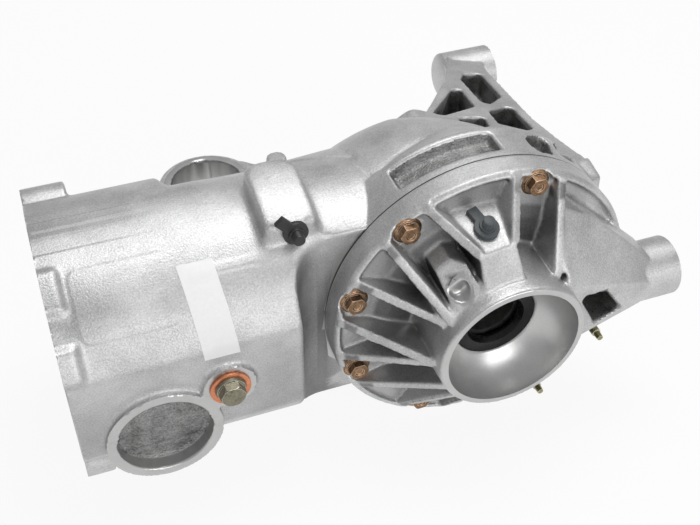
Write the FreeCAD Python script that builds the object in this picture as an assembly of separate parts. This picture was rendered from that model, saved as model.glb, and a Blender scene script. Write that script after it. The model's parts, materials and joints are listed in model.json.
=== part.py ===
import FreeCAD, Part
import math
import os

# Rear axle differential with an open coupling tunnel, in millimetres.
# It is drawn about the point where the input axis and the output axis cross:
# +X runs from the coupling end to the rear, the output axis is Y and the cover faces -Y, +Z is up.
# Export moves everything so that the centre of the coupling face is the origin.

V = FreeCAD.Vector
X, Y, Z = V(1, 0, 0), V(0, 1, 0), V(0, 0, 1)
ORIGIN = V(0, 0, 0)

# Fits
running = 0.04
clear = 0.30

# Ring gear and pinion
ring_teeth = 31
pinion_teeth = 12
ring_pitch_r = 68.0
face_width = 23.0
spiral_deg = 35.0
pressure_deg = 20.0
working_depth = 7.46
tip_clearance = 0.82
ring_addendum = 2.27
pinion_thicker = 1.12
backlash = 0.34
ring_back = 9.0

# Differential gears
side_teeth = 16
spider_teeth = 10
diff_module = 3.2
diff_face = 10.5
diff_pressure_deg = 22.5
diff_backlash = 0.34
diff_centre_y = -5.0
side_hub_r = 21.0
side_back = 22.5
spider_back = 30.0
washer_t = 1.0
spider_washer_r = 13.0
stub_r = 15.0
stub_spline_depth = 1.0
stub_spline_teeth = 24
cross_pin_r = 8.0
lock_pin_r = 2.0

# Differential case
case_r = 42.0
case_bore_r = 17.0
case_flange_r = 66.0
case_flange_t = 8.0
trunnion_r = 22.5
case_pilot_r = 43.0
near_shoulder_y = -50.0
far_shoulder_y = 48.0
case_window_w = 34.0
case_window_l = 30.0
ring_bolt_count = 10
ring_bolt_circle_r = 56.0
ring_bolt_r = 5.0
ring_bolt_length = 18.0

# Rolling bearings: bore radius, outer radius, width
carrier_bearing = (22.5, 37.5, 17.0)
head_bearing = (17.5, 36.0, 18.0)
nose_bearing = (15.0, 31.0, 17.0)
bearing_tilt_deg = 13.0
roller_count = 14
roller_share = 0.44
cage_t = 1.0

# Pinion shaft, stations measured from the crossing towards the coupling
head_shoulder = 74.0
nose_seat = 163.0
shaft_r = 16.5
thread_r = 14.0
sleeve_length = 12.0
sleeve_r = 20.0
nut_flats = 36.0
nut_t = 11.0
spline_r = 13.0
spline_depth = 1.3
spline_teeth = 20
spline_length = 20.0
pilot_r = 10.0
pilot_length = 8.0
spacer_wall = 3.5
shim_t = 1.0
pinion_seal_t = 8.0
shoulder_t = 3.0

# Tunnel
coupling_x = -252.0
tunnel_r = 78.0
tunnel_bore_r = 66.0
tunnel_bore_depth = 62.0
bulkhead_t = 12.0
oil_room_r = 60.0
front_flat_y = -72.0
box_end_x = -119.0
tunnel_back_r = 68.0
tunnel_rear_r = 77.0
crest_y, crest_r = -7.0, 74.8
wall = 7.0
box_blend_r = 20.0
bulge_start, bulge_rise, bulge_top = (-60.0, 74.0), (-38.0, 81.0), (-20.0, 84.0)
bulge_fall, bulge_end = (22.0, 75.0), (66.0, 50.0)
nose_tube_r = 39.0

# Coupling bolts
coupling_circle_r = 73.0
coupling_hole_r = 4.25
coupling_hole_depth = 14.0
coupling_lugs_size = ((15.0, 26.0), (9.0, 17.0), (14.0, 17.0), (14.0, 17.0))

# Ring gear case
parting_y = -43.0
rim_r = 97.0
band_end_y = -15.0
dome_start = (-11.0, 92.0)
dome_mid = (24.0, 73.0)
dome_end = (60.0, 50.0)
chamber_r = 79.0
chamber_start_y = -18.0
chamber_mid = (16.0, 66.0)
chamber_end = (49.5, 46.0)
neck_r = 46.6
far_neck_y = 88.0
far_rib_count = 8
far_rib_t = 6.0

# Cover
cover_bolt_circle_r = 87.5
cover_bolt_angles = (73.0, 127.0, 163.5, 201.6, 245.0, 271.0)
stud_angles = (297.4, 333.0)
dowel_angles = (79.0, 222.0)
bolt_seat_y = -57.0
rim_top_y = -60.0
funnel_rim_y = -103.0
funnel_rim_r = 42.2
funnel_mid = (-91.0, 38.5)
seal_r = 26.0
seal_t = 7.0
cover_pocket_r = 70.0
cover_pocket_foot_r = 66.0
cover_pocket_y = -56.5
gasket_t = 0.8
rib_t = 6.0

# Fasteners
m8_shank_r = 4.0
m8_hex = 12.0
m8_flange_r = 8.9
seat_clear = 0.8
m8_head_h = 8.0
m8_thread_depth = 10.0
stud_shank_r = 3.0
stud_tip_y = -82.0
dowel_r = 4.0

# Rear mounting bosses
boss_r = 19.0
near_boss_y = -69.0
near_boss_end_x = 124.0
near_boss_start_x = 72.0
far_boss_y = 180.0
far_boss_end_x = 119.0
far_boss_start_x = 71.0
boss_hole_r = 5.1
boss_hole_depth = 36.0

# Front mounting eye
eye_x, eye_y = -130.0, 112.0
eye_r = 34.0
eye_bore_r = 24.5
eye_height = 46.0
eye_web_t = 12.0
post_top = 30.0

# Front wall
plug_x = -164.7
plug_pad_r = 16.0
plug_pad_h = 3.0
plug_thread_r = 9.0
plug_hex = 17.0
plug_washer_r = 12.0
plug_washer_t = 1.5
cup_x, cup_z = -204.5, -27.0
cup_r = 34.0
cup_bore_r = 27.7
cup_rim_y = -76.0
cup_floor_y = -66.0

# Breathers
vent_boss_x = (-131.0, -99.0)
vent_boss_r = 89.0
vent_x, vent_z = -113.5, 74.0
vent_face_y = -41.0
cap_x, cap_y = -12.0, -73.3
cap_hole_r = 3.2
cap_plate_r = 7.3
cap_step_r = 4.6
cap_stud_r = 3.4
cap_tab_w = 6.6
cap_tab_l = 14.5


# Shape helpers

def turned(axis, points):
    """Solid of revolution: points are (station along the axis, radius)."""
    corners = [place(axis, s, r) for s, r in points]
    edges = [Part.LineSegment(a, b).toShape() for a, b in zip(corners, corners[1:] + corners[:1])]
    return Part.Face(Part.Wire(edges)).revolve(ORIGIN, axis, 360)


def place(axis, station, radius):
    """Point at a station along X or Y, at a radius upwards."""
    return axis * station + Z * radius


def dome(axis, start, middle, end, foot):
    """Revolved shell blank: straight from foot to start, an arc to end, closed on the axis."""
    a, b, c = place(axis, *start), place(axis, *middle), place(axis, *end)
    f0, f1 = place(axis, foot, start[1]), place(axis, foot, 0)
    g = place(axis, end[0], 0)
    edges = [Part.LineSegment(f1, f0).toShape(), Part.LineSegment(f0, a).toShape(),
             Part.Arc(a, b, c).toShape(), Part.LineSegment(c, g).toShape(), Part.LineSegment(g, f1).toShape()]
    return Part.Face(Part.Wire(edges)).revolve(ORIGIN, axis, 360)


def cylinder(start, direction, radius, length):
    return Part.makeCylinder(radius, length, start, direction)


def between(a, b, radius):
    """Cylinder from point a to point b."""
    return Part.makeCylinder(radius, (b - a).Length, a, b - a)


def block(low, high):
    return Part.makeBox(high[0] - low[0], high[1] - low[1], high[2] - low[2], V(*low))


def outline(points, rounding=0.0):
    """Closed wire through the corners, each corner rounded by an arc."""
    if rounding <= 0:
        return Part.makePolygon(points + points[:1])
    arcs = []
    count = len(points)
    for i, corner in enumerate(points):
        back = points[i - 1] - corner
        ahead = points[(i + 1) % count] - corner
        half = back.getAngle(ahead) / 2
        cut = min(rounding / math.tan(half), 0.45 * back.Length, 0.45 * ahead.Length)
        reach = cut * math.tan(half) / math.sin(half) - cut * math.tan(half)
        p, q = corner + V(back).normalize() * cut, corner + V(ahead).normalize() * cut
        inward = (V(back).normalize() + V(ahead).normalize()).normalize()
        arcs.append((p, corner + inward * reach, q))
    edges = []
    for i, (p, m, q) in enumerate(arcs):
        edges.append(Part.Arc(p, m, q).toShape())
        edges.append(Part.LineSegment(q, arcs[(i + 1) % count][0]).toShape())
    return Part.Wire(edges)


def prism(points, direction, rounding=0.0):
    """Straight extrusion of a rounded outline."""
    return Part.Face(outline(points, rounding)).extrude(direction)


def hexagon(start, direction, flats, height):
    """Hexagonal prism from start along direction."""
    side = V(direction).cross(Z)
    side = X if side.Length < 0.1 else side.normalize()
    other = V(direction).normalize().cross(side)
    r = flats / math.sqrt(3)
    corners = [start + side * (r * math.cos(math.radians(a))) + other * (r * math.sin(math.radians(a)))
               for a in range(0, 360, 60)]
    return prism(corners, V(direction).normalize() * height)


def polar(radius, angle_deg, y=0.0):
    """Point on a circle about the output axis, angle from +X towards +Z."""
    a = math.radians(angle_deg)
    return V(radius * math.cos(a), y, radius * math.sin(a))


def turned_copy(shape, axis, angle_deg, centre=ORIGIN):
    new = shape.copy()
    new.rotate(centre, axis, angle_deg)
    return new


def ring_of(shape, axis, count, first=0.0, centre=ORIGIN):
    return [turned_copy(shape, axis, first + 360.0 * i / count, centre) for i in range(count)]


def fused(shapes):
    return shapes[0].multiFuse(shapes[1:]).removeSplitter()


# Bevel gear teeth
# Both gears of a pair are generated by one straight-sided crown gear, so they are conjugate.
# A spiral tooth is the same section turned as the distance from the apex grows.

class Bevel:
    """Geometry of one bevel gear about its own axis, with its apex at the origin."""

    def __init__(self, teeth, mate, outer_distance, width, tip_angle, root_angle, pressure, thick, play):
        self.teeth = teeth
        self.pitch = math.atan2(teeth, mate)
        self.outer = outer_distance
        self.inner = outer_distance - width
        self.mean = (self.outer + self.inner) / 2
        self.tip = self.pitch + tip_angle
        self.root = self.pitch - root_angle
        self.pressure = pressure
        mean_r = self.mean * math.sin(self.pitch)
        self.half = thick * math.pi / (2 * teeth) - play / 4 / mean_r

    def rolled(self, psi):
        """Polar angle and turn of the flank point made at crown angle psi."""
        ca, sa = math.cos(self.pressure), math.sin(self.pressure)
        cp, sp = math.cos(psi), math.sin(psi)
        normal = V(ca * sp, -ca * cp, sa)
        q = V(1, 0, 0) - normal * normal.x
        axis = V(math.cos(self.pitch), 0, math.sin(self.pitch))
        side = V(math.sin(self.pitch), 0, -math.cos(self.pitch))
        gamma = math.acos(q.dot(axis) / q.Length)
        return gamma, abs(math.atan2(q.y, q.dot(side)) - psi / math.sin(self.pitch))

    def flank(self, gamma):
        """Half tooth angle at a polar angle from the axis; below the base cone the flank runs on straight."""
        low, high = (0.0, 1.2) if gamma > self.pitch else (self.base_psi(), 0.0)
        for _ in range(40):
            mid = (low + high) / 2
            if self.rolled(mid)[0] < gamma:
                low = mid
            else:
                high = mid
        turn = self.rolled((low + high) / 2)[1]
        return self.half - turn if gamma > self.pitch else self.half + turn

    def base_psi(self):
        """Crown angle at which the flank point reaches the base cone."""
        low, high = -1.2, 0.0
        for _ in range(60):
            a, b = low + (high - low) / 3, high - (high - low) / 3
            if self.rolled(a)[0] < self.rolled(b)[0]:
                high = b
            else:
                low = a
        return (low + high) / 2


def tooth_section(gear, distance, twist, steps, buried):
    """Closed wire of one tooth, cut by a plane square to the pitch line at this distance."""
    normal = V(math.sin(gear.pitch), 0, math.cos(gear.pitch))
    gammas = [gear.root + (gear.tip - gear.root) * i / steps for i in range(steps + 1)]

    def spot(gamma, azimuth):
        rho = distance
        for _ in range(25):
            phi = azimuth + twist(rho)
            d = V(math.sin(gamma) * math.cos(phi), math.sin(gamma) * math.sin(phi), math.cos(gamma))
            rho = distance / d.dot(normal)
        return d * rho

    left = [spot(g, -gear.flank(g)) for g in gammas]
    right = [spot(g, gear.flank(g)) for g in reversed(gammas)]
    foot_left = spot(gear.root - buried, -gear.flank(gear.root))
    foot_right = spot(gear.root - buried, gear.flank(gear.root))
    curve_l, curve_r = Part.BSplineCurve(), Part.BSplineCurve()
    curve_l.interpolate(left)
    curve_r.interpolate(right)
    edges = [Part.LineSegment(foot_left, left[0]).toShape(), curve_l.toShape(),
             Part.LineSegment(left[-1], right[0]).toShape(), curve_r.toShape(),
             Part.LineSegment(right[-1], foot_right).toShape(), Part.LineSegment(foot_right, foot_left).toShape()]
    return Part.Wire(edges)


def straight_section(gear, distance, steps, buried):
    """Same section for a straight tooth, with flat facets along the flank."""
    normal = V(math.sin(gear.pitch), 0, math.cos(gear.pitch))
    gammas = [gear.root + (gear.tip - gear.root) * i / steps for i in range(steps + 1)]

    def spot(gamma, phi):
        d = V(math.sin(gamma) * math.cos(phi), math.sin(gamma) * math.sin(phi), math.cos(gamma))
        return d * (distance / d.dot(normal))

    left = [spot(gear.root - buried, -gear.flank(gear.root))] + [spot(g, -gear.flank(g)) for g in gammas]
    right = [spot(g, gear.flank(g)) for g in reversed(gammas)]
    right.append(spot(gear.root - buried, gear.flank(gear.root)))
    return Part.makePolygon(left + right + left[:1])


def slab(gear, distance_a, distance_b, reach):
    """Ring between two back cones, about the gear's own axis +Z."""
    out = (math.sin(gear.pitch), math.cos(gear.pitch))
    across = (math.cos(gear.pitch), -math.sin(gear.pitch))
    corners = []
    for d, s in ((distance_a, -reach), (distance_b, -reach), (distance_b, reach), (distance_a, reach)):
        r, z = out[0] * d + across[0] * s, out[1] * d + across[1] * s
        corners.append(V(max(r, 0.5), 0, z))
    return Part.Face(Part.makePolygon(corners + corners[:1])).revolve(ORIGIN, Z, 360)


def spiral_teeth(gear, hand, first):
    """All teeth of a spiral gear, about +Z with the pitch line of the first at angle first."""
    spiral = math.tan(math.radians(spiral_deg))

    def twist(rho):
        return hand * spiral * math.log(rho / gear.mean) / math.sin(gear.pitch)

    over = 2.0
    stations = [gear.inner - over + (gear.outer - gear.inner + 2 * over) * i / 4 for i in range(5)]
    buried = math.radians(1.6)
    wires = [tooth_section(gear, s, twist, 4, buried) for s in stations]
    tooth = Part.makeLoft(wires, True, False)
    tooth = tooth.common(slab(gear, gear.inner, gear.outer, 16.0))
    return ring_of(tooth, Z, gear.teeth, first)


def straight_teeth(gear, first):
    over = 1.5
    wires = [straight_section(gear, d, 4, math.radians(3.0)) for d in (gear.inner - over, gear.outer + over)]
    tooth = Part.makeLoft(wires, True, True)
    tooth = tooth.common(slab(gear, gear.inner, gear.outer, 9.0))
    return ring_of(tooth, Z, gear.teeth, first)


def cone_point(gear, distance, gamma_from):
    """Radius and height of the point on a back cone at a distance, at polar angle gamma_from."""
    s = distance * math.tan(gamma_from - gear.pitch)
    r = distance * math.sin(gear.pitch) + s * math.cos(gear.pitch)
    z = distance * math.cos(gear.pitch) - s * math.sin(gear.pitch)
    return r, z


def stand(shape, x_axis, z_axis, centre=ORIGIN):
    """Turn a gear from its own frame so that its axis is z_axis and its first pitch line faces x_axis."""
    y_axis = z_axis.cross(x_axis)
    matrix = FreeCAD.Matrix(x_axis.x, y_axis.x, z_axis.x, centre.x,
                            x_axis.y, y_axis.y, z_axis.y, centre.y,
                            x_axis.z, y_axis.z, z_axis.z, centre.z,
                            0, 0, 0, 1)
    new = shape.copy()
    new.Placement = FreeCAD.Placement(matrix).multiply(new.Placement)
    return new


# Gear pairs
cone_distance = ring_pitch_r / math.sin(math.atan2(ring_teeth, pinion_teeth))
transverse = math.atan(math.tan(math.radians(pressure_deg)) / math.cos(math.radians(spiral_deg)))
pinion_addendum = working_depth - ring_addendum
ring_gear_data = Bevel(ring_teeth, pinion_teeth, cone_distance, face_width,
                       ring_addendum / cone_distance, (pinion_addendum + tip_clearance) / cone_distance,
                       transverse, 2 - pinion_thicker, backlash)
pinion_data = Bevel(pinion_teeth, ring_teeth, cone_distance, face_width,
                    pinion_addendum / cone_distance, (ring_addendum + tip_clearance) / cone_distance,
                    transverse, pinion_thicker, backlash)
diff_distance = diff_module * math.hypot(side_teeth, spider_teeth) / 2
diff_add = 0.9 * diff_module / diff_distance
diff_ded = 1.1 * diff_module / diff_distance
side_data = Bevel(side_teeth, spider_teeth, diff_distance, diff_face, 0.8 * diff_add, 1.2 * diff_ded,
                  math.radians(diff_pressure_deg), 0.94, diff_backlash)
spider_data = Bevel(spider_teeth, side_teeth, diff_distance, diff_face, 1.15 * diff_add, 0.87 * diff_ded,
                    math.radians(diff_pressure_deg), 1.06, diff_backlash)

# Stations that follow from the gears and bearings
ring_heel = cone_point(ring_gear_data, ring_gear_data.outer, ring_gear_data.root)
ring_toe = cone_point(ring_gear_data, ring_gear_data.inner, ring_gear_data.root)
ring_back_y = -(ring_heel[1] + ring_back)
case_flange_y = ring_back_y - case_flange_t
tube_end_y = case_flange_y - 4 * clear
pinion_heel = cone_point(pinion_data, pinion_data.outer, pinion_data.root)
pinion_toe = cone_point(pinion_data, pinion_data.inner, pinion_data.root)
nose_face = nose_seat + nose_bearing[2]
sleeve_end = nose_face + sleeve_length
nut_end = sleeve_end + nut_t
spline_end = nut_end + 2 + spline_length
tunnel_floor_x = coupling_x + tunnel_bore_depth
oil_room_rear_x = box_end_x - wall
near_cup_back_y = near_shoulder_y - carrier_bearing[2]
far_cup_back_y = far_shoulder_y + carrier_bearing[2]
near_seal_y = near_cup_back_y - shim_t - shoulder_t
far_seal_y = far_cup_back_y + shim_t + shoulder_t
head_cup_back = head_shoulder + head_bearing[2]


def turned_z(points):
    """Solid of revolution about +Z: points are (height, radius)."""
    corners = [V(r, 0, z) for z, r in points]
    return Part.Face(Part.makePolygon(corners + corners[:1])).revolve(ORIGIN, Z, 360)


# Tapered roller bearings
# The rollers and both races share one apex on the axis, so the rollers can roll without sliding.

def bearing(size):
    """Cone, cup, and rollers with cage about +Z; the rollers' wide ends face z = 0."""
    bore, outer, width = size
    tilt = math.radians(bearing_tilt_deg)
    pitch_r = (bore + outer) / 2
    roller_r = roller_share * (outer - bore) / 2
    reach = pitch_r / math.sin(tilt)
    taper = math.asin(roller_r / reach)
    middle = width / 2
    apex = middle + pitch_r / math.tan(tilt)
    length = 0.6 * width
    wide, narrow = roller_r * (1 + length / 2 / reach), roller_r * (1 - length / 2 / reach)

    def race(z, sign):
        return (apex - z) * math.tan(tilt + sign * taper) + sign * running

    rib_z = middle - length / 2 * math.cos(tilt) - wide * math.sin(tilt) - clear
    lip_z = middle + length / 2 * math.cos(tilt) - narrow * math.sin(tilt) + 2 * clear
    rib_r = race(rib_z, -1) + 0.35 * roller_r
    lip_r = race(lip_z, -1) + 0.15 * roller_r
    inner = turned_z([(0, bore), (0, rib_r), (rib_z, rib_r), (rib_z, race(rib_z, -1)),
                      (lip_z, race(lip_z, -1)), (lip_z, lip_r), (width, lip_r), (width, bore)])
    cup_z = 0.2 * width
    outer_race = turned_z([(cup_z, outer), (width, outer), (width, race(width, 1)), (cup_z, race(cup_z, 1))])
    along = V(-math.sin(tilt), 0, math.cos(tilt))
    outward = V(math.cos(tilt), 0, math.sin(tilt))
    centre = V(pitch_r, 0, middle)
    start = centre - along * (length / 2)
    roller = Part.makeCone(wide, narrow, length, start, along)
    pocket = Part.makeCone(wide + clear, narrow + clear, length + 2 * clear, start - along * clear, along)
    half = length / 2 + 1.5
    corners = [centre + outward * (0.15 * roller_r) - along * half, centre + outward * (0.15 * roller_r) + along * half]
    corners += [corners[1] + outward * cage_t, corners[0] + outward * cage_t]
    cage = Part.Face(Part.makePolygon(corners + corners[:1])).revolve(ORIGIN, Z, 360)
    cage = cage.cut(ring_of(pocket, Z, roller_count))
    return inner, outer_race, Part.makeCompound([cage] + ring_of(roller, Z, roller_count))


def set_bearing(size, centre, z_axis):
    side = Z if abs(z_axis.z) < 0.5 else X
    return [stand(piece, side, z_axis, centre) for piece in bearing(size)]


# Input side

def splined(points_at, teeth, outer, depth):
    """Corners of a straight-sided spline, made by a function from angle and radius to a point."""
    corners = []
    for i in range(teeth):
        for share, r in ((-0.25, outer), (0.25, outer), (0.33, outer - depth), (0.67, outer - depth)):
            corners.append(points_at(2 * math.pi * (i + share) / teeth, r))
    return corners


def pinion_gear_shaft():
    toe_r, toe_z = pinion_toe
    heel_r, heel_z = pinion_heel
    root_r = spline_r - spline_depth
    body = turned_z([(toe_z, 0), (toe_z, toe_r), (heel_z, heel_r), (head_shoulder, heel_r - 0.5),
                     (head_shoulder, head_bearing[0]), (head_cup_back, head_bearing[0]),
                     (head_cup_back, shaft_r), (nose_seat, shaft_r), (nose_seat, nose_bearing[0]),
                     (nose_face, nose_bearing[0]), (nose_face, thread_r), (nut_end + 1, thread_r),
                     (nut_end + 2, root_r), (spline_end, root_r), (spline_end, pilot_r),
                     (spline_end + pilot_length - 1, pilot_r), (spline_end + pilot_length, pilot_r - 1),
                     (spline_end + pilot_length, 0)])
    corners = splined(lambda a, r: V(r * math.cos(a), r * math.sin(a), nut_end + 1.5), spline_teeth,
                      spline_r, spline_depth)
    nose = prism(corners, Z * (spline_length + 0.5))
    shaft = body.fuse(nose)
    for tooth in spiral_teeth(pinion_data, 1, 0.0):
        shaft = shaft.fuse(tooth)
    return stand(shaft, -Y, -X)


def tube_x(start, end, inner, outer):
    return cylinder(X * start, X, outer, end - start).cut(cylinder(X * start, X, inner, end - start))


def pinion_nut():
    nut = hexagon(X * -nut_end, X, nut_flats, nut_t)
    round_nut = turned(X, [(-nut_end, 0), (-nut_end, 0.5 * nut_flats), (-nut_end + 1.5, 0.5 * nut_flats + 2.6),
                           (-sleeve_end, 0.5 * nut_flats + 2.6), (-sleeve_end, 0)])
    return nut.common(round_nut).cut(cylinder(X * -nut_end, X, thread_r, nut_t))


def lip_seal(axis_dir, start, outer, lip, thick):
    """Radial shaft seal along +Z from start: metal-backed rim, web and a sprung lip."""
    seal = turned_z([(0, outer), (thick, outer), (thick, outer - 1.5), (1.6, outer - 1.5), (1.6, lip + 3.0),
                     (thick - 1.5, lip + 2.4), (thick - 1.0, lip + 0.6), (0.55 * thick, lip), (0, lip + 1.6)])
    side = Z if abs(axis_dir.z) < 0.5 else X
    return stand(seal, side, axis_dir, start)


# Axle side

def ring_gear():
    toe_r, toe_z = ring_toe
    heel_r, heel_z = ring_heel
    blank = turned_z([(toe_z, toe_r), (heel_z, heel_r), (heel_z + 3, heel_r + 1), (-ring_back_y, heel_r + 1),
                      (-ring_back_y, case_pilot_r), (toe_z + 2, case_pilot_r)])
    teeth = spiral_teeth(ring_gear_data, -1, 180.0 / ring_teeth)
    hole = Part.makeCylinder(ring_bolt_r, ring_bolt_length - case_flange_t + 1,
                             V(ring_bolt_circle_r, 0, -ring_back_y), -Z)
    gear = fused([blank] + teeth).cut(ring_of(hole, Z, ring_bolt_count))
    return stand(gear, -X, -Y)


def ring_gear_bolts():
    start = V(ring_bolt_circle_r, case_flange_y, 0)
    bolt = hexagon(start, -Y, 15.0, 6.4).fuse(cylinder(start, Y, ring_bolt_r, ring_bolt_length))
    return ring_of(bolt, Y, ring_bolt_count, first=180.0)


def differential_case():
    near_end, far_end = near_cup_back_y - 1.0, far_cup_back_y + 1.0
    body = turned(Y, [(near_end, case_bore_r), (near_end, trunnion_r - 1), (near_end + 1, trunnion_r),
                      (near_shoulder_y, trunnion_r), (near_shoulder_y, trunnion_r + 7),
                      (case_flange_y, trunnion_r + 10), (case_flange_y, case_flange_r),
                      (ring_back_y, case_flange_r), (ring_back_y, case_pilot_r),
                      (-ring_toe[1] - 4, case_pilot_r), (-ring_toe[1] - 3, case_r), (0.45 * far_shoulder_y, case_r),
                      (0.75 * far_shoulder_y, trunnion_r + 8), (far_shoulder_y, trunnion_r + 7),
                      (far_shoulder_y, trunnion_r), (far_end - 1, trunnion_r), (far_end, trunnion_r - 1),
                      (far_end, case_bore_r)])
    middle = Y * diff_centre_y
    room = side_back + washer_t
    inside = Part.makeSphere(spider_back + washer_t, middle)
    inside = inside.common(cylinder(middle - Y * room, Y, 60, 2 * room))
    inside = inside.fuse(cylinder(middle - Y * room, Y, 28.5, 2 * room))
    window = prism([V(-60, diff_centre_y - case_window_l / 2, -case_window_w / 2),
                    V(-60, diff_centre_y + case_window_l / 2, -case_window_w / 2),
                    V(-60, diff_centre_y + case_window_l / 2, case_window_w / 2),
                    V(-60, diff_centre_y - case_window_l / 2, case_window_w / 2)], X * 120, 6.0)
    pin_hole = cylinder(middle - Z * 60, Z, cross_pin_r, 120)
    holes = ring_of(cylinder(V(ring_bolt_circle_r, case_flange_y - 1, 0), Y, ring_bolt_r, case_flange_t + 2),
                    Y, ring_bolt_count, first=180.0)
    return body.cut([inside, window, pin_hole, lock_pin_bore()] + holes)


def lock_pin_bore():
    return cylinder(V(0, diff_centre_y - 14, case_r - 6), Y, lock_pin_r, 60)


def cross_pin_lock_pin():
    start = V(0, diff_centre_y - 14, case_r - 6)
    pin = cylinder(start, Y, lock_pin_r, 28 + cross_pin_r)
    return pin.cut(cylinder(start, Y, 0.5 * lock_pin_r, 28 + cross_pin_r))


def cross_pin():
    middle = Y * diff_centre_y
    half = case_r - 0.6
    pin = turned_z([(-half, 0), (-half, cross_pin_r - 1), (1 - half, cross_pin_r), (half - 1, cross_pin_r),
                    (half, cross_pin_r - 1), (half, 0)])
    pin.translate(middle)
    return pin.cut(lock_pin_bore())


def side_gear_blank():
    """Side gear about +Z with its apex at the origin: toothed cone, web, hub and splined bore."""
    heel_r, heel_z = cone_point(side_data, side_data.outer, side_data.root)
    toe_r, toe_z = cone_point(side_data, side_data.inner, side_data.root)
    bore = stub_r - stub_spline_depth
    blank = turned_z([(toe_z, bore), (toe_z, toe_r), (heel_z, heel_r), (heel_z + 1.5, heel_r),
                      (side_back - 0.3, side_hub_r + 2), (side_back - clear, bore)])
    teeth = straight_teeth(side_data, 180.0 / side_teeth)
    corners = splined(lambda a, r: V(r * math.cos(a), r * math.sin(a), 0), stub_spline_teeth,
                      stub_r, stub_spline_depth)
    return fused([blank] + teeth).cut(prism(corners, Z * 40))


def spider_gear_blank():
    toe_r, toe_z = cone_point(spider_data, spider_data.inner, spider_data.root)
    heel_r, heel_z = cone_point(spider_data, spider_data.outer, spider_data.root)
    blank = turned_z([(toe_z, 0), (toe_z, toe_r), (heel_z, heel_r), (heel_z + 6, heel_r), (heel_z + 6, 0)])
    teeth = straight_teeth(spider_data, 0.0)
    gear = fused([blank] + teeth).common(Part.makeSphere(spider_back - clear))
    return gear.cut(cylinder(ORIGIN, Z, cross_pin_r + running, 60))


def spider_washer():
    shell = Part.makeSphere(spider_back + washer_t).cut(Part.makeSphere(spider_back))
    shell = shell.common(cylinder(ORIGIN, Z, spider_washer_r, 60))
    return shell.cut(cylinder(ORIGIN, Z, cross_pin_r, 60))


def side_washer():
    start = Z * side_back
    return cylinder(start, Z, side_hub_r + 2, washer_t).cut(cylinder(start, Z, case_bore_r + 1, washer_t))


# Main housing

def arm_top(x, y):
    return 67.6 - 0.184 * x - 0.194 * y


def arm_bottom(x, y):
    return -(60.0 - 0.12 * x - 0.19 * y)


def arm_prism(plan, rounding, low, high):
    """Plan outline between two height functions of x and y."""
    base = prism([V(x, y, -120) for x, y in plan], Z * 240, rounding)
    span = 400.0
    corners = ((-span, -span), (span, -span), (span, span), (-span, span))
    floor = Part.makePolygon([V(x, y, low(x, y)) for x, y in corners] + [V(-span, -span, low(-span, -span))])
    roof = Part.makePolygon([V(x, y, high(x, y)) for x, y in corners] + [V(-span, -span, high(-span, -span))])
    return base.common(Part.makeLoft([floor, roof], True, True))


arm_plan = ((0, 40), (5, 58), (30, 93), (58, 133), (72, 160), (72, 180), (112, 180), (104, 158), (95, 98),
            (89, 55), (88, 20), (90, -18), (80, -43), (40, -43))
arm_pockets = (((20, 71), (54, 113), (62, 113), (57, 80), (26, 66)),
               ((72, 134), (79, 144), (94, 144), (87, 97), (69, 82), (66, 89)),
               ((63, 71), (80, 77), (84, 73), (80, 38), (74, 35), (59, 48)),
               ((29, 61), (54, 60), (50, 44), (44, 44)))
arm_floor = 4.0
# Pockets in the band: angle they face, depth, and corners as (along the band, y)
lens_pocket = (63.0, 10.0, ((9.2, -24), (1.7, -18.5), (-7.6, -17), (-10.7, -22), (-4.4, -38), (6.3, -38.6), (9.8, -34)))
corner_pocket = (47.0, 12.0, ((9.3, -18), (15.4, -35), (1.7, -36), (-24, -3)))


def lattice_arm():
    arm = arm_prism(arm_plan, 6.0, arm_bottom, arm_top)
    tools = []
    for plan in arm_pockets:
        tools.append(arm_prism(plan, 3.5, lambda x, y: arm_floor, lambda x, y: arm_top(x, y) + 5))
        tools.append(arm_prism(plan, 3.5, lambda x, y: arm_bottom(x, y) - 5, lambda x, y: -arm_floor))
    pad = prism([V(74, -19, 30), V(87, -19, 30), V(84, -40, 30), V(76, -40, 30)], Z * 31.0)
    return arm.fuse(pad.makeChamfer(2.0, [e for e in pad.Edges if e.BoundBox.ZMin > 60])), tools


def front_eye():
    """Vertical bush eye with two webs that reach back to the tunnel."""
    low = -eye_height
    top = V(eye_x, eye_y, 0)
    barrel = Part.makeCone(eye_r + 1.5, eye_r, eye_height - 2.0, V(eye_x, eye_y, low), Z)
    collar = cylinder(top, -Z, eye_r - 4.0, 5.0)
    plan = ((eye_x - 33, eye_y + 4), (-186, 50), (-186, 30), (-40, 30), (-40, 78), (-75, 92), (eye_x + 30, eye_y + 14))
    mid = -eye_height / 2
    web = prism([V(x, y, mid - eye_web_t / 2) for x, y in plan], Z * eye_web_t, 5.0)
    rails = []
    for a, b in (((eye_x - 29, eye_y + 8), (-184, 46)), ((eye_x + 27, eye_y + 16), (-42, 76))):
        way = V(b[0] - a[0], b[1] - a[1], 0)
        across = V(way.y, -way.x, 0).normalize() * 4.0
        a3, b3 = V(a[0], a[1], low + 4), V(b[0], b[1], low + 4)
        rails.append(prism([a3 - across, b3 - across, b3 + across, a3 + across], Z * (eye_height - 6)))
    post = cylinder(V(-87, 84, low + 6), Z, 7.0, post_top - low - 6)
    return fused([barrel, collar, web, post] + rails), cylinder(top + Z * 5, -Z, eye_bore_r, eye_height + 10)


def coupling_lugs():
    """Blocks round the four coupling bolts."""
    lugs = []
    for i, (radius, length) in enumerate(coupling_lugs_size):
        lug = cylinder(V(coupling_x, coupling_circle_r, 0), X, radius, length)
        lugs.append(turned_copy(lug, X, 45.0 + 90.0 * i))
    return lugs


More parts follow.
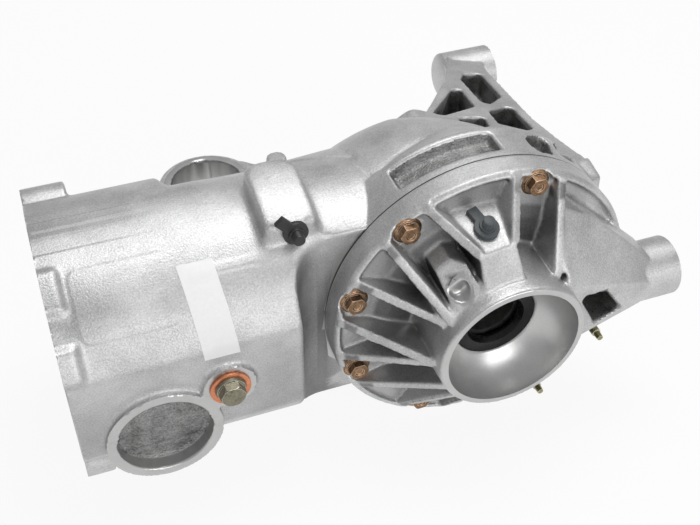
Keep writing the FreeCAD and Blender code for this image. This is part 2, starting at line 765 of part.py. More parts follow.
def coupling_holes():
    hole = cylinder(V(coupling_x - 1, coupling_circle_r, 0), X, coupling_hole_r, coupling_hole_depth + 1)
    return ring_of(hole, X, 4, first=45.0)


def tunnel():
    """Coupling tunnel: full size at the open end, stepped down behind, with a flat front wall."""
    core = turned(X, [(coupling_x, 0), (coupling_x, tunnel_r), (-174, tunnel_r), (-166, tunnel_back_r),
                      (0, tunnel_rear_r), (0, 0)])
    crest = cylinder(V(-176, crest_y, 0), X, crest_r, 176).common(cylinder(X * -176, X, tunnel_r, 176))
    rise = dome(-X, (-bulge_top[0], bulge_top[1]), (-bulge_rise[0], bulge_rise[1]),
                (-bulge_start[0], bulge_start[1]), -bulge_top[0] - 1)
    fall = dome(X, bulge_top, bulge_fall, bulge_end, bulge_top[0] - 1)
    behind = block((coupling_x - 5, front_flat_y, -200), (100, 200, 200))
    box = fused([core, crest, rise, fall]).common(behind)
    recess = block((box_end_x, -200, -200), (200, parting_y, 200))
    corner = [e for e in recess.Edges if e.BoundBox.XMax < box_end_x + 1 and e.BoundBox.YMin > parting_y - 1
              and e.BoundBox.ZLength > 300]
    return box.cut(recess.makeFillet(box_blend_r, corner))


def drum():
    band = turned(Y, [(parting_y, 0), (parting_y, rim_r), (band_end_y, rim_r), (dome_start[0], dome_start[1] + 2),
                      (dome_start[0], 0)])
    body = dome(Y, dome_start, dome_mid, dome_end, parting_y)
    neck = turned(Y, [(dome_end[0] - 12, 0), (dome_end[0] - 12, neck_r + 2), (far_neck_y - 1.5, neck_r),
                      (far_neck_y, neck_r - 1.5), (far_neck_y, 0)])
    fin = prism([V(neck_r - 4, far_neck_y - 6, -far_rib_t / 2), V(dome_mid[1] - 1, dome_mid[0] - 2, -far_rib_t / 2),
                 V(neck_r - 4, dome_mid[0] - 2, -far_rib_t / 2)], Z * far_rib_t)
    return [band, body, neck] + ring_of(fin, Y, far_rib_count, first=22.5)


def rim_slot():
    """Long arc recess in the side of the case, just behind the joint."""
    slot = turned(Y, [(-36, rim_r - 7), (-38, rim_r + 5), (-17, rim_r + 5), (-21, rim_r - 7)])
    a, b = polar(200, 82), polar(200, 121)
    wedge = prism([V(0, -60, 0), V(a.x, -60, a.z), V(0, -60, 260), V(b.x, -60, b.z)], Y * 60)
    return slot.common(wedge)


def band_pocket(angle, depth, corners):
    """Blind pocket let into the band, square to the direction it faces."""
    out = polar(1, angle)
    side = V(-out.z, 0, out.x)
    foot = out * (rim_r - depth)
    return prism([foot + side * s + Y * y for s, y in corners], out * 40, 3.0)


def chamber():
    """Room for the ring gear, bored from the cover side."""
    return dome(Y, (chamber_start_y, chamber_r), chamber_mid, chamber_end, parting_y - 1)


def vent_boss():
    """Raised pad on the crest with an upright face for the breather."""
    low, high = vent_boss_x
    pad = prism([V(low, -60, 30), V(low, 9, 30), V(high, 9, 30), V(high, -60, 30)], Z * 70, 10.0)
    pad = pad.common(cylinder(X * low, X, vent_boss_r, high - low))
    return pad.cut(block((-200, -90, 0), (0, vent_face_y, 200)))


def main_housing():
    arm, arm_cuts = lattice_arm()
    eye, eye_bore = front_eye()
    boss = turned_boss(far_boss_y, far_boss_start_x, far_boss_end_x)
    boss_nose = Part.makeSphere(boss_r, V(far_boss_start_x, far_boss_y, 0))
    plug_pad = cylinder(V(plug_x, front_flat_y - plug_pad_h, 0), Y, plug_pad_r, 20)
    cup = cylinder(V(cup_x, cup_rim_y, cup_z), Y, cup_r, 40)
    outside = fused([tunnel(), arm, eye, boss, boss_nose, plug_pad, cup, vent_boss()] + coupling_lugs())
    outside = outside.cut([block((coupling_x - 60, -200, -200), (coupling_x, 200, 200))] + arm_cuts)
    outside = fused([outside] + drum())
    outside = outside.cut([rim_slot(), band_pocket(*lens_pocket), band_pocket(*corner_pocket)])
    rooms = [chamber(), eye_bore,
             turned(X, [(coupling_x - 1, 0), (coupling_x - 1, tunnel_bore_r), (tunnel_floor_x, tunnel_bore_r),
                        (tunnel_floor_x, 0)]),
             turned(X, [(tunnel_floor_x + bulkhead_t, 0), (tunnel_floor_x + bulkhead_t, oil_room_r - 2),
                        (tunnel_floor_x + bulkhead_t + 4, oil_room_r), (oil_room_rear_x, oil_room_r),
                        (oil_room_rear_x, 0)])]
    shell = outside.cut(rooms)
    nose_tube = cylinder(X * tunnel_floor_x, X, nose_tube_r, -nose_seat + 6 - tunnel_floor_x)
    far_tube = cylinder(Y * (far_shoulder_y - 2), Y, carrier_bearing[1] + 6, 20)
    for tube in (nose_tube, far_tube):
        shell = shell.fuse(tube)
    seat_r = carrier_bearing[1]
    passage_r = nose_bearing[1] - 4
    bores = [turned(X, [(-nose_face - 20, 0), (-nose_face - 20, nose_bearing[1]), (-nose_seat, nose_bearing[1]),
                        (-nose_seat, passage_r), (-head_cup_back - shim_t, passage_r),
                        (-head_cup_back - shim_t, head_bearing[1]),
                        (-head_shoulder + 26, head_bearing[1]), (-head_shoulder + 26, 0)]),
             turned(Y, [(0, 0), (0, seat_r), (far_cup_back_y + shim_t, seat_r),
                        (far_cup_back_y + shim_t, seat_r - 5), (far_seal_y, seat_r - 5), (far_seal_y, seal_r),
                        (far_seal_y + seal_t, seal_r), (far_seal_y + seal_t + 1, seal_r + 1),
                        (far_neck_y + 1, neck_r - 5), (far_neck_y + 1, 0)]),
             cylinder(V(cup_x, cup_rim_y - 1, cup_z), Y, cup_bore_r, cup_floor_y - cup_rim_y + 1),
             cylinder(V(plug_x, front_flat_y - plug_pad_h - 1, 0), Y, plug_thread_r, 25),
             cylinder(V(far_boss_end_x + 1, far_boss_y, 0), -X, boss_hole_r, boss_hole_depth + 1),
             cylinder(V(vent_x, vent_face_y - 1, vent_z), Y, cap_hole_r, 10)]
    for angle in cover_bolt_angles:
        bores.append(cylinder(polar(cover_bolt_circle_r, angle, parting_y - 1), Y, m8_shank_r, m8_thread_depth + 2))
    for angle in stud_angles:
        bores.append(cylinder(polar(cover_bolt_circle_r, angle, parting_y - 1), Y, stud_shank_r, 15))
    for angle in dowel_angles:
        bores.append(cylinder(polar(cover_bolt_circle_r, angle, parting_y - 1), Y, dowel_r, 8.5))
    return shell.cut(bores + coupling_holes())


def turned_boss(y, start, end):
    boss = cylinder(V(start, y, 0), X, boss_r, end - start)
    return boss


# Side cover

def cover_rib(outer_angle, inner_angle, outer_y, inner_y, inner_r=neck_r + 1):
    """Upright fin from the rim inwards; its top edge rises towards the middle."""
    a, b = polar(rim_r - 1.5, outer_angle), polar(inner_r, inner_angle)
    side = V(a.z - b.z, 0, b.x - a.x).normalize() * (rib_t / 2)
    foot = -50.0
    corners = [V(a.x, foot, a.z), V(a.x, outer_y, a.z), V(b.x, inner_y, b.z), V(b.x, foot, b.z)]
    return prism([c - side for c in corners], side * 2)


cover_ribs = ((135, 144, -60, -96), (154, 150, -60, -92), (172, 186, -60, -95),
              (190, 192, -60, -90), (209, 222, -60, -93), (237, 240, -60, -94), (258, 258, -60, -94),
              (283, 283, -60, -94), (312, 306, -60, -94), (64, 50, -60, -90))
shelf_ribs = ((117, 108, -60, -88, 70), (83, 89, -60, -86, 68))


def ear():
    """Horn that carries the near rear boss: a ruled body from the neck to the boss, with a window."""
    root_x, tip_x = 36.0, near_boss_end_x - 18
    root = ((-47, -34), (-88, -32), (-95, -20), (-95, 30), (-60, 80), (-47, 80))
    tip = ((-53, -15), (-80, -15), (-87, -5), (-87, 5), (-77, 17), (-55, 17))
    wires = [Part.makePolygon([V(x, y, z) for y, z in s + s[:1]]) for x, s in ((root_x, root), (tip_x, tip))]
    horn = Part.makeLoft(wires, True, True)
    return horn.fuse(turned_boss(near_boss_y, near_boss_start_x, near_boss_end_x))


window_corners = ((46, 18), (66, 15), (80, -5), (62, -10))


# Sloping pad: corners as (x, z), the way down, its station and y at the high end, and the slope
lug_pad = (((-42, 50), (-33, 57), (-25, 56), (-19, 41), (-35, 26)), 126.0, 45.5, -96.0, 1.1)


def shelf_top(y):
    return 77.7 + 0.316 * (y + 55)


shelf_way = V(0, -0.316, 1).normalize()


def breather_shelf():
    """Block that stands out over the neck and carries the breather on its sloping top."""
    foot = [V(-18.5, -55, 40), V(-18.5, -96, 40), V(7, -96, 42), V(7, -55, 42)]
    roof = [V(x, y, shelf_top(y)) for x, y in ((-26.5, -55), (-22.5, -88), (1.5, -86), (-1, -55))]
    return Part.makeLoft([Part.makePolygon(foot + foot[:1]), Part.makePolygon(roof + roof[:1])], True, True)


def sloped_pad(plan, way_deg, station, high_y, slope):
    """Pad on the cover whose flat top slopes along one direction."""
    way = polar(1, way_deg)
    feet = [V(x, -55, z) for x, z in plan]
    tops = [V(f.x, high_y + slope * (f.dot(way) - station), f.z) for f in feet]
    return Part.makeLoft([Part.makePolygon(feet + feet[:1]), Part.makePolygon(tops + tops[:1])], True, True)


def side_cover():
    face_y = parting_y - gasket_t
    body = turned(Y, [(face_y, 0), (face_y, rim_r), (rim_top_y + 3, rim_r), (rim_top_y, rim_r - 2),
                      (rim_top_y, rim_r - 4), (bolt_seat_y, rim_r - 4.5), (bolt_seat_y, 74), (-60, 64), (-61, neck_r + 1),
                      (funnel_rim_y + 1, neck_r), (funnel_rim_y, neck_r - 1), (funnel_rim_y, 0)])
    spigot = turned(Y, [(face_y, chamber_r - 5), (face_y + 6, chamber_r - 5), (face_y + 6, chamber_r - 1.2),
                        (face_y + 5, chamber_r - clear), (face_y, chamber_r - clear)])
    pads = [sloped_pad(*lug_pad), breather_shelf()]
    ribs = [cover_rib(*r) for r in cover_ribs + shelf_ribs]
    outside = fused([body, spigot, ear()] + pads + ribs)
    throat = near_seal_y - seal_t
    bowl = Part.Arc(V(0, funnel_rim_y, funnel_rim_r), V(0, *funnel_mid), V(0, throat - 1, seal_r + 1)).toShape()
    bowl_face = Part.Face(Part.Wire([bowl, Part.LineSegment(V(0, throat - 1, seal_r + 1), V(0, throat - 1, 0)).toShape(),
                                     Part.LineSegment(V(0, throat - 1, 0), V(0, funnel_rim_y, 0)).toShape(),
                                     Part.LineSegment(V(0, funnel_rim_y, 0), V(0, funnel_rim_y, funnel_rim_r)).toShape()]))
    seat_r = carrier_bearing[1]
    inside = [bowl_face.revolve(ORIGIN, Y, 360),
              turned(Y, [(face_y + 10, 0), (face_y + 10, seat_r), (near_cup_back_y - shim_t, seat_r),
                         (near_cup_back_y - shim_t, seat_r - 5), (near_seal_y, seat_r - 5), (near_seal_y, seal_r),
                         (throat, seal_r), (throat - 1, seal_r + 1), (throat - 1, 0)]),
              turned(Y, [(face_y + 1, seat_r + 6), (face_y + 1, cover_pocket_r + 2), (cover_pocket_y + 5, cover_pocket_r),
                         (cover_pocket_y, cover_pocket_foot_r), (cover_pocket_y, seat_r + 6)]),
              cylinder(Y * tube_end_y, Y, cover_pocket_r, face_y + 1 - tube_end_y),
              prism([V(x, -110, z) for x, z in window_corners], Y * 46, 3.0),
              cylinder(V(near_boss_end_x + 1, near_boss_y, 0), -X, boss_hole_r, boss_hole_depth + 1),
              cylinder(V(-32, -100, 44), Y, 6.0, 16.5),
              cylinder(V(cap_x, cap_y, shelf_top(cap_y)), shelf_way * -1, cap_hole_r, 9)]
    for angle in cover_bolt_angles:
        seat = polar(cover_bolt_circle_r, angle, bolt_seat_y)
        inside.append(cylinder(seat, -Y, m8_flange_r + seat_clear, 60))
        inside.append(cylinder(seat, Y, m8_shank_r + 0.5, 20))
    for angle in stud_angles:
        inside.append(cylinder(polar(cover_bolt_circle_r, angle, bolt_seat_y), Y, stud_shank_r + 0.5, 20))
        inside.append(cylinder(polar(cover_bolt_circle_r, angle, bolt_seat_y), -Y, m8_flange_r + seat_clear, 60))
    for angle in dowel_angles:
        inside.append(cylinder(polar(cover_bolt_circle_r, angle, face_y + 1), -Y, dowel_r, 8.5))
    return outside.cut(inside)


def cover_gasket():
    gasket = cylinder(Y * (parting_y - gasket_t), Y, rim_r - 0.3, gasket_t)
    cuts = [cylinder(Y * (parting_y - gasket_t), Y, chamber_r, gasket_t)]
    for angle in cover_bolt_angles + stud_angles + dowel_angles:
        cuts.append(cylinder(polar(cover_bolt_circle_r, angle, parting_y - gasket_t), Y, m8_shank_r + 0.5, gasket_t))
    return gasket.cut(cuts)


def flange_bolt(seat, direction, length):
    """Hexagon flange bolt: washer face, head with a small dish, plain shank."""
    away = V(direction) * -1
    flange = Part.makeCone(m8_flange_r, m8_flange_r - 1.2, 1.8, seat, away)
    head = hexagon(seat, away, m8_hex, m8_head_h).common(
        Part.makeCone(m8_hex, m8_hex * 0.5, m8_head_h + 0.6, seat, away))
    dish = Part.makeCone(3.4, 2.4, 1.0, seat + away * m8_head_h, direction)
    return fused([flange, head, cylinder(seat, direction, m8_shank_r, length)]).cut(dish)


def cover_bolts():
    length = m8_thread_depth - bolt_seat_y + parting_y
    return [flange_bolt(polar(cover_bolt_circle_r, a, bolt_seat_y), Y, length) for a in cover_bolt_angles]


def cover_studs():
    studs = []
    for angle in stud_angles:
        nut_seat = polar(cover_bolt_circle_r, angle, bolt_seat_y)
        tip = polar(cover_bolt_circle_r, angle, stud_tip_y)
        shank = between(tip + Y * 5, polar(cover_bolt_circle_r, angle, parting_y + 14), stud_shank_r)
        dog = Part.makeCone(2.0, 2.3, 5, tip, Y)
        collar = hexagon(nut_seat, -Y, 10.0, 5.0)
        studs.append(fused([shank, dog, collar]))
    return studs


def cover_dowels():
    return [between(polar(cover_bolt_circle_r, a, parting_y + 7), polar(cover_bolt_circle_r, a, parting_y - 7), dowel_r)
            for a in dowel_angles]


# Plug and breathers

def level_plug():
    seat = V(plug_x, front_flat_y - plug_pad_h - plug_washer_t, 0)
    collar = Part.makeCone(plug_washer_r - 0.6, plug_washer_r - 1.6, 2.5, seat, -Y)
    head = hexagon(seat, -Y, plug_hex, 10).common(Part.makeCone(plug_hex * 0.85, plug_hex * 0.5, 10.4, seat, -Y))
    return fused([collar, head, cylinder(seat, Y, plug_thread_r, 14)])


def level_plug_washer():
    seat = V(plug_x, front_flat_y - plug_pad_h, 0)
    return cylinder(seat, -Y, plug_washer_r, plug_washer_t).cut(cylinder(seat, -Y, plug_thread_r, plug_washer_t))


def vent_cap(seat, way, tab_dir):
    """Round cap standing along way: stem, plate with a long tab, and a stud."""
    side = way.cross(tab_dir).normalize() * (cap_tab_w / 2)
    far = seat + V(tab_dir).normalize() * cap_tab_l
    tab = prism([seat - side, seat + side, far + side, far - side], way * 3)
    return fused([cylinder(seat, way * -1, cap_hole_r, 8), cylinder(seat, way, cap_plate_r, 3.0), tab,
                  cylinder(seat, way, cap_step_r, 4.4), cylinder(seat, way, cap_stud_r, 9.5)])


def housing_breather():
    return vent_cap(V(vent_x, vent_face_y, vent_z), -Y, polar(1, 131))


def cover_breather():
    return vent_cap(V(cap_x, cap_y, shelf_top(cap_y)), shelf_way, V(-4, 13.3, 13.3 * 0.316))


# Assembly

def gear_set():
    side = side_gear_blank()
    spider = spider_gear_blank()
    washer = spider_washer()
    middle = Y * diff_centre_y
    return {"side_gear_near": stand(side, Z, -Y, middle), "side_gear_far": stand(side, Z, Y, middle),
            "spider_gear_upper": stand(spider, -Y, Z, middle), "spider_gear_lower": stand(spider, -Y, -Z, middle),
            "spider_washer_upper": stand(washer, X, Z, middle), "spider_washer_lower": stand(washer, X, -Z, middle),
            "side_washer_near": stand(side_washer(), X, -Y, middle),
            "side_washer_far": stand(side_washer(), X, Y, middle)}


def bearing_set():
    places = {"near_bearing": (carrier_bearing, Y * near_shoulder_y, -Y),
              "far_bearing": (carrier_bearing, Y * far_shoulder_y, Y),
              "pinion_head_bearing": (head_bearing, X * -head_shoulder, -X),
              "pinion_nose_bearing": (nose_bearing, X * -nose_face, X)}
    pieces = {}
    for name, (size, centre, axis) in places.items():
        inner, outer, rollers = set_bearing(size, centre, axis)
        pieces[name + "_inner_race"] = inner
        pieces[name + "_outer_race"] = outer
        pieces[name + "_rollers"] = rollers
    return pieces


def shim(axis, station, size, thick):
    start = V(axis) * station
    return cylinder(start, axis, size[1], thick).cut(cylinder(start, axis, size[1] - 4, thick))


def pieces():
    parts = {
        "main_housing": main_housing(),
        "side_cover": side_cover(),
        "cover_gasket": cover_gasket(),
        "cover_bolts": cover_bolts(),
        "cover_studs": cover_studs(),
        "cover_dowels": cover_dowels(),
        "level_plug": level_plug(),
        "level_plug_washer": level_plug_washer(),
        "housing_breather": housing_breather(),
        "cover_breather": cover_breather(),
        "pinion_gear_shaft": pinion_gear_shaft(),
        "pinion_spacer": tube_x(-nose_seat, -head_cup_back, shaft_r + 0.3, shaft_r + spacer_wall),
        "pinion_seal_sleeve": tube_x(-sleeve_end, -nose_face, thread_r, sleeve_r),
        "pinion_nut": pinion_nut(),
        "pinion_seal": lip_seal(X, X * (-sleeve_end + 2.5), nose_bearing[1], sleeve_r + running, pinion_seal_t),
        "pinion_depth_shim": shim(-X, head_cup_back, head_bearing, shim_t),
        "differential_case": differential_case(),
        "ring_gear": ring_gear(),
        "ring_gear_bolts": ring_gear_bolts(),
        "cross_pin": cross_pin(),
        "cross_pin_lock_pin": cross_pin_lock_pin(),
        "near_preload_shim": shim(-Y, -near_cup_back_y, carrier_bearing, shim_t),
        "far_preload_shim": shim(Y, far_cup_back_y, carrier_bearing, shim_t),
        "near_output_seal": lip_seal(Y, Y * (near_seal_y - seal_t), seal_r, case_bore_r + clear, seal_t),
        "far_output_seal": lip_seal(-Y, Y * (far_seal_y + seal_t), seal_r, case_bore_r + clear, seal_t),
    }
    parts.update(gear_set())
    parts.update(bearing_set())
    return parts


def export(name, shape):
    """Move a piece so that the coupling face's centre is the origin, and write it."""
    solid = Part.makeCompound(shape) if isinstance(shape, list) else shape.copy()
    solid.translate(X * -coupling_x)
    solid.exportStep("parts/" + name + ".step")
    return solid


os.makedirs("parts", exist_ok=True)
for name, shape in pieces().items():
    solid = export(name, shape)
    print(name, len(solid.Solids), "solids", round(solid.Volume / 1000, 1), "cm3", solid.isValid())
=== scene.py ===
import json
import math
import bpy
import numpy as np
from mathutils import Matrix, Vector


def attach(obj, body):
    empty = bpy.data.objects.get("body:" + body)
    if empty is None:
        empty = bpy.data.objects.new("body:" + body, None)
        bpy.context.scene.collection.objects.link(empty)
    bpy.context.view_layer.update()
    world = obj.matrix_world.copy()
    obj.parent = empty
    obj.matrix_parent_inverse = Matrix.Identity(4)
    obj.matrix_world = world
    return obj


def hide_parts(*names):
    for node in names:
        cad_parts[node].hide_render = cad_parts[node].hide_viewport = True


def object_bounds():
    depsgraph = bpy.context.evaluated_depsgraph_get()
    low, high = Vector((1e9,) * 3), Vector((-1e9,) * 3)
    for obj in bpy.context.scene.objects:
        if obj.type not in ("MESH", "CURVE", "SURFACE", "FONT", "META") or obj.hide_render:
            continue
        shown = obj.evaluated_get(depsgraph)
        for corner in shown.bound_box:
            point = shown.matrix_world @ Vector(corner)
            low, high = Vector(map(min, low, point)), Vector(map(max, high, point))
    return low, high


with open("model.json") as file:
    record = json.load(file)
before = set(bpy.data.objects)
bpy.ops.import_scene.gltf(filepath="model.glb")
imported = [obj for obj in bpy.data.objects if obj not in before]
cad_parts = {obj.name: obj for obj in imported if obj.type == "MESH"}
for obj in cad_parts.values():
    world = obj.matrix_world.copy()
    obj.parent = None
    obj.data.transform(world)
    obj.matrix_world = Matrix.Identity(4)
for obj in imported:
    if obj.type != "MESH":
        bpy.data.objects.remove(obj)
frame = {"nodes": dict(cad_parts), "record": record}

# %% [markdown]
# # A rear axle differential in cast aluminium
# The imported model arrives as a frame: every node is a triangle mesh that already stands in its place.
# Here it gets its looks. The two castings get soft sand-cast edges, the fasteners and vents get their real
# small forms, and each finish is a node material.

nodes = frame["nodes"]
cad_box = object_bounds()
bpy.ops.object.select_all(action="DESELECT")
print("CAD box", [[round(v, 4) for v in corner] for corner in cad_box])

# %% [markdown]
# ## Places
# Sizes are in millimetres, measured from the point where the input axis and the output axis cross.
# `at` turns such a point into metres in the model's frame, whose origin is the middle of the coupling face.
# Around the output axis, places are given by an angle from +X towards +Z, seen from the cover side.

# %% Helpers for places
MM = 0.001
COUPLING = 252.0


def at(x, y, z):
    return Vector(((x + COUPLING) * MM, y * MM, z * MM))


def polar(radius, angle, y):
    a = math.radians(angle)
    return at(radius * math.cos(a), y, radius * math.sin(a))


print("crossing of the axes", tuple(round(v, 3) for v in at(0, 0, 0)))

# %% [markdown]
# ## Camera
# The photograph was taken from above, looking down at the cover and the long tunnel. The lens and the place
# were solved from the round joint of the cover, the neck, the seal, the bush eye and the coupling face, so
# the same points of the model fall on the same pixels. The camera's own axes are written as a matrix.

# %% Camera at the photograph's place
azimuth, elevation, roll = (math.radians(a) for a in (-20.8, 42.5, 0.8))
focal_px, image_width = 1036.0, 700.0
sensor_mm = 36.0
target = at(-65, 0, 0)
distance = 0.663

back = Vector((math.sin(azimuth) * math.cos(elevation),
               -math.cos(azimuth) * math.cos(elevation),
               math.sin(elevation)))
right = Vector((math.cos(azimuth), math.sin(azimuth), 0))
up = back.cross(right)
turned_right = right * math.cos(roll) + up * math.sin(roll)
turned_up = up * math.cos(roll) - right * math.sin(roll)

bpy.ops.object.camera_add()
camera = bpy.context.object
camera.name = "photo_camera"
camera.data.sensor_width = sensor_mm
camera.data.lens = sensor_mm * focal_px / image_width
camera.data.clip_start = 0.01
camera.matrix_world = Matrix((
    (turned_right.x, turned_up.x, back.x, target.x + back.x * distance),
    (turned_right.y, turned_up.y, back.y, target.y + back.y * distance),
    (turned_right.z, turned_up.z, back.z, target.z + back.z * distance),
    (0, 0, 0, 1)))
bpy.context.scene.camera = camera
print("lens", round(camera.data.lens, 2), "mm")

# %% [markdown]
# ## Selecting, and making room for a new piece
# An operator acts on all that is selected, so each step first selects just its own piece. `finish_piece`
# ends every piece the same way: its place goes into the mesh, it gets its material and it rides on its body.

# %% Helpers for pieces
merge_gap = 0.004 * MM


def only(piece):
    bpy.ops.object.select_all(action="DESELECT")
    piece.select_set(True)
    bpy.context.view_layer.objects.active = piece


def joined(pieces, name):
    only(pieces[0])
    for piece in pieces:
        piece.select_set(True)
    bpy.ops.object.join()
    bpy.context.object.name = name
    return bpy.context.object


def modifier(piece, kind, **settings):
    """Add a modifier, set it up and apply it."""
    only(piece)
    bpy.ops.object.modifier_add(type=kind)
    added = piece.modifiers[-1]
    for name, value in settings.items():
        setattr(added, name, value)
    bpy.ops.object.modifier_apply(modifier=added.name)


def finish_piece(piece, body, material, smooth_deg=35):
    only(piece)
    bpy.ops.object.transform_apply(location=True, rotation=True, scale=True)
    bpy.ops.object.shade_smooth_by_angle(angle=math.radians(smooth_deg))
    if material is not None:
        piece.data.materials.clear()
        piece.data.materials.append(material)
    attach(piece, body)
    print(piece.name, len(piece.data.polygons), "faces")
    return piece


def copy_of(node, name):
    """Merged copy of a node's mesh, to work on."""
    piece = bpy.data.objects.new(name, nodes[node].data.copy())
    bpy.context.collection.objects.link(piece)
    only(piece)
    bpy.ops.object.mode_set(mode="EDIT")
    bpy.ops.mesh.select_all(action="SELECT")
    bpy.ops.mesh.remove_doubles(threshold=merge_gap)
    bpy.ops.object.mode_set(mode="OBJECT")
    return piece


def vectors_of(items, field):
    """One vector for each vertex or face, as rows of an array."""
    values = np.empty(len(items) * 3, np.float32)
    items.foreach_get(field, values)
    return values.reshape(-1, 3)


def points_of(piece):
    """The vertices in millimetres from the crossing of the axes."""
    points = vectors_of(piece.data.vertices, "co") / MM
    points[:, 0] -= COUPLING
    return points


def set_points(piece, points):
    back_in_frame = points.copy()
    back_in_frame[:, 0] += COUPLING
    piece.data.vertices.foreach_set("co", (back_in_frame * MM).astype(np.float32).ravel())
    piece.data.update()


def soft_step(value, low, high):
    """0 below low, 1 above high, and smooth between."""
    share = np.clip((value - low) / (high - low), 0, 1)
    return share * share * (3 - 2 * share)


def window(value, low, high, edge):
    """1 from low to high, falling smoothly to 0 over the edge outside them."""
    return soft_step(value, low - edge, low) * (1 - soft_step(value, high, high + edge))


def scaled_about(points, axis, centre, factor):
    """Scale each point's distance from an axis (0 is X, 1 is Y) by its own factor."""
    others = [i for i in range(3) if i != axis]
    for i, middle in zip(others, centre):
        points[:, i] = middle + (points[:, i] - middle) * factor
    return points


def softened(node, name, width, materials, extras=(), reshape=None):
    """Copy of a small node whose edges are broken by a narrow bevel in the second of its two finishes, which
    for the bolts, the plug and the studs is paler, a painted highlight.
    """
    piece = copy_of(node, name)
    if reshape is not None:
        set_points(piece, reshape(points_of(piece)))
    bpy.ops.object.mode_set(mode="EDIT")
    bpy.ops.mesh.select_all(action="SELECT")
    bpy.ops.mesh.dissolve_limited(angle_limit=math.radians(0.5))
    bpy.ops.object.mode_set(mode="OBJECT")
    piece.data.materials.clear()
    for material in materials:
        piece.data.materials.append(material)
    modifier(piece, "BEVEL", width=width * MM, segments=2, limit_method="ANGLE",
             angle_limit=math.radians(28), material=1)
    if extras:
        piece = joined([piece, *extras], name)
    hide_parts(node)
    return finish_piece(piece, "housing", None, smooth_deg=32)


# %% [markdown]
# ## Materials
# Every finish here is metal, plastic or rubber with its own grain, so one helper makes the common part: a
# Principled shader whose colour and roughness wander a little with noise, and whose surface has a fine bump.
# Noise reads Object coordinates, which are metres here, so a scale of 900 makes grains about a millimetre
# wide.

# %% Helper for node materials


def noise(tree, coordinates, scale, detail=4.0, rough=0.6):
    node = tree.nodes.new("ShaderNodeTexNoise")
    node.inputs["Scale"].default_value = scale
    node.inputs["Detail"].default_value = detail
    node.inputs["Roughness"].default_value = rough
    tree.links.new(coordinates, node.inputs["Vector"])
    return node.outputs["Fac"]


def ramp(tree, factor, stops):
    node = tree.nodes.new("ShaderNodeValToRGB")
    while len(node.color_ramp.elements) < len(stops):
        node.color_ramp.elements.new(0.5)
    for element, (position, colour) in zip(node.color_ramp.elements, stops):
        element.position = position
        element.color = (*colour, 1) if len(colour) == 3 else (colour[0],) * 3 + (1,)
    tree.links.new(factor, node.inputs["Fac"])
    return node.outputs["Color"]


def mixed(tree, factor, a, b, blend="MIX"):
    node = tree.nodes.new("ShaderNodeMix")
    node.data_type = "RGBA"
    node.blend_type = blend
    if isinstance(factor, float):
        node.inputs["Factor"].default_value = factor
    else:
        tree.links.new(factor, node.inputs["Factor"])
    tree.links.new(a, node.inputs["A"])
    tree.links.new(b, node.inputs["B"])
    return node.outputs["Result"]


def bumped(tree, height, depth, normal=None):
    node = tree.nodes.new("ShaderNodeBump")
    node.inputs["Strength"].default_value = 1.0
    node.inputs["Distance"].default_value = depth
    tree.links.new(height, node.inputs["Height"])
    if normal is not None:
        tree.links.new(normal, node.inputs["Normal"])
    return node.outputs["Normal"]


def new_material(name, metallic):
    material = bpy.data.materials.new(name)
    material.use_nodes = True
    tree = material.node_tree
    shader = tree.nodes["Principled BSDF"]
    shader.inputs["Metallic"].default_value = metallic
    return material, tree, shader, tree.nodes.new("ShaderNodeTexCoord").outputs["Object"]


# Painted shade: how much the colour darkens as the mesh's painted_shade value goes from 0 to 1.
painted_shade_colour = ((0.0, (1.0,)), (1.0, (0.13,)))


def surface(name, dark, light, metallic, rough, grain, grain_depth, patch=60.0, patch_depth=0.0,
            with_painted_shade=False):
    """Colour between dark and light in grains and patches, roughness from rough[0] to rough[1]. With painted
    shade, the colour is painted darker where the mesh's own painted_shade values say so."""
    material, tree, shader, where = new_material(name, metallic)
    fine = noise(tree, where, grain)
    broad = noise(tree, where, patch, 5.0)
    colour = mixed(tree, 0.5, ramp(tree, fine, ((0.32, dark), (0.68, light))),
                   ramp(tree, broad, ((0.3, dark), (0.7, light))))
    if with_painted_shade:
        # Painted shade: the colour is multiplied darker by each point's painted_shade value, for the shade
        # that falls in hollows.
        painted_shade = tree.nodes.new("ShaderNodeAttribute")
        painted_shade.attribute_name = "painted_shade"
        colour = mixed(tree, 1.0, colour, ramp(tree, painted_shade.outputs["Fac"], painted_shade_colour), "MULTIPLY")
    tree.links.new(colour, shader.inputs["Base Color"])
    tree.links.new(ramp(tree, broad, ((0.3, (rough[0],)), (0.7, (rough[1],)))), shader.inputs["Roughness"])
    normal = bumped(tree, fine, grain_depth)
    if patch_depth:
        normal = bumped(tree, broad, patch_depth, normal)
    tree.links.new(normal, shader.inputs["Normal"])
    return material


# %% [markdown]
# ## Finishes
# The castings are shot-blasted aluminium: pale, satin, with a fine sparkle. Where a core or a deep pocket
# was left as it came from the sand, the metal is coarser, and its colour is painted darker as painted shade
# for the little light that reaches in. The castings' own finish also takes painted shade from a value on
# each point. Machined faces are smoother and a little brighter. The bolts have a coppery zinc-flake coat,
# the plug a dull olive one and its washer is bare copper; the paler finishes on the bevelled edges of bolts,
# plug and studs are a painted highlight. Each line gives the darkest and the palest colour, then metal,
# roughness, grain and its depth.

# %% Finishes of the castings
# Painted shade: this finish is painted darker wherever each point's painted_shade value is high.
cast_aluminium = surface("cast_aluminium", (0.36, 0.36, 0.36), (0.74, 0.74, 0.74),
                         0.9, (0.42, 0.50), 1000.0, 0.00026, 35.0, 0.00012, with_painted_shade=True)
# Partly the coarser sand finish, partly painted shade: far darker than the open casting, for the shade
# inside deep pockets.
rough_pocket_painted_shade = surface("rough_pocket_painted_shade", (0.06, 0.06, 0.058), (0.50, 0.50, 0.495),
                       0.9, (0.36, 0.52), 900.0, 0.0006, 110.0, 0.0004)
machined_aluminium = surface("machined_aluminium", (0.46, 0.46, 0.455), (0.60, 0.60, 0.595),
                             0.9, (0.30, 0.38), 1700.0, 0.00002)

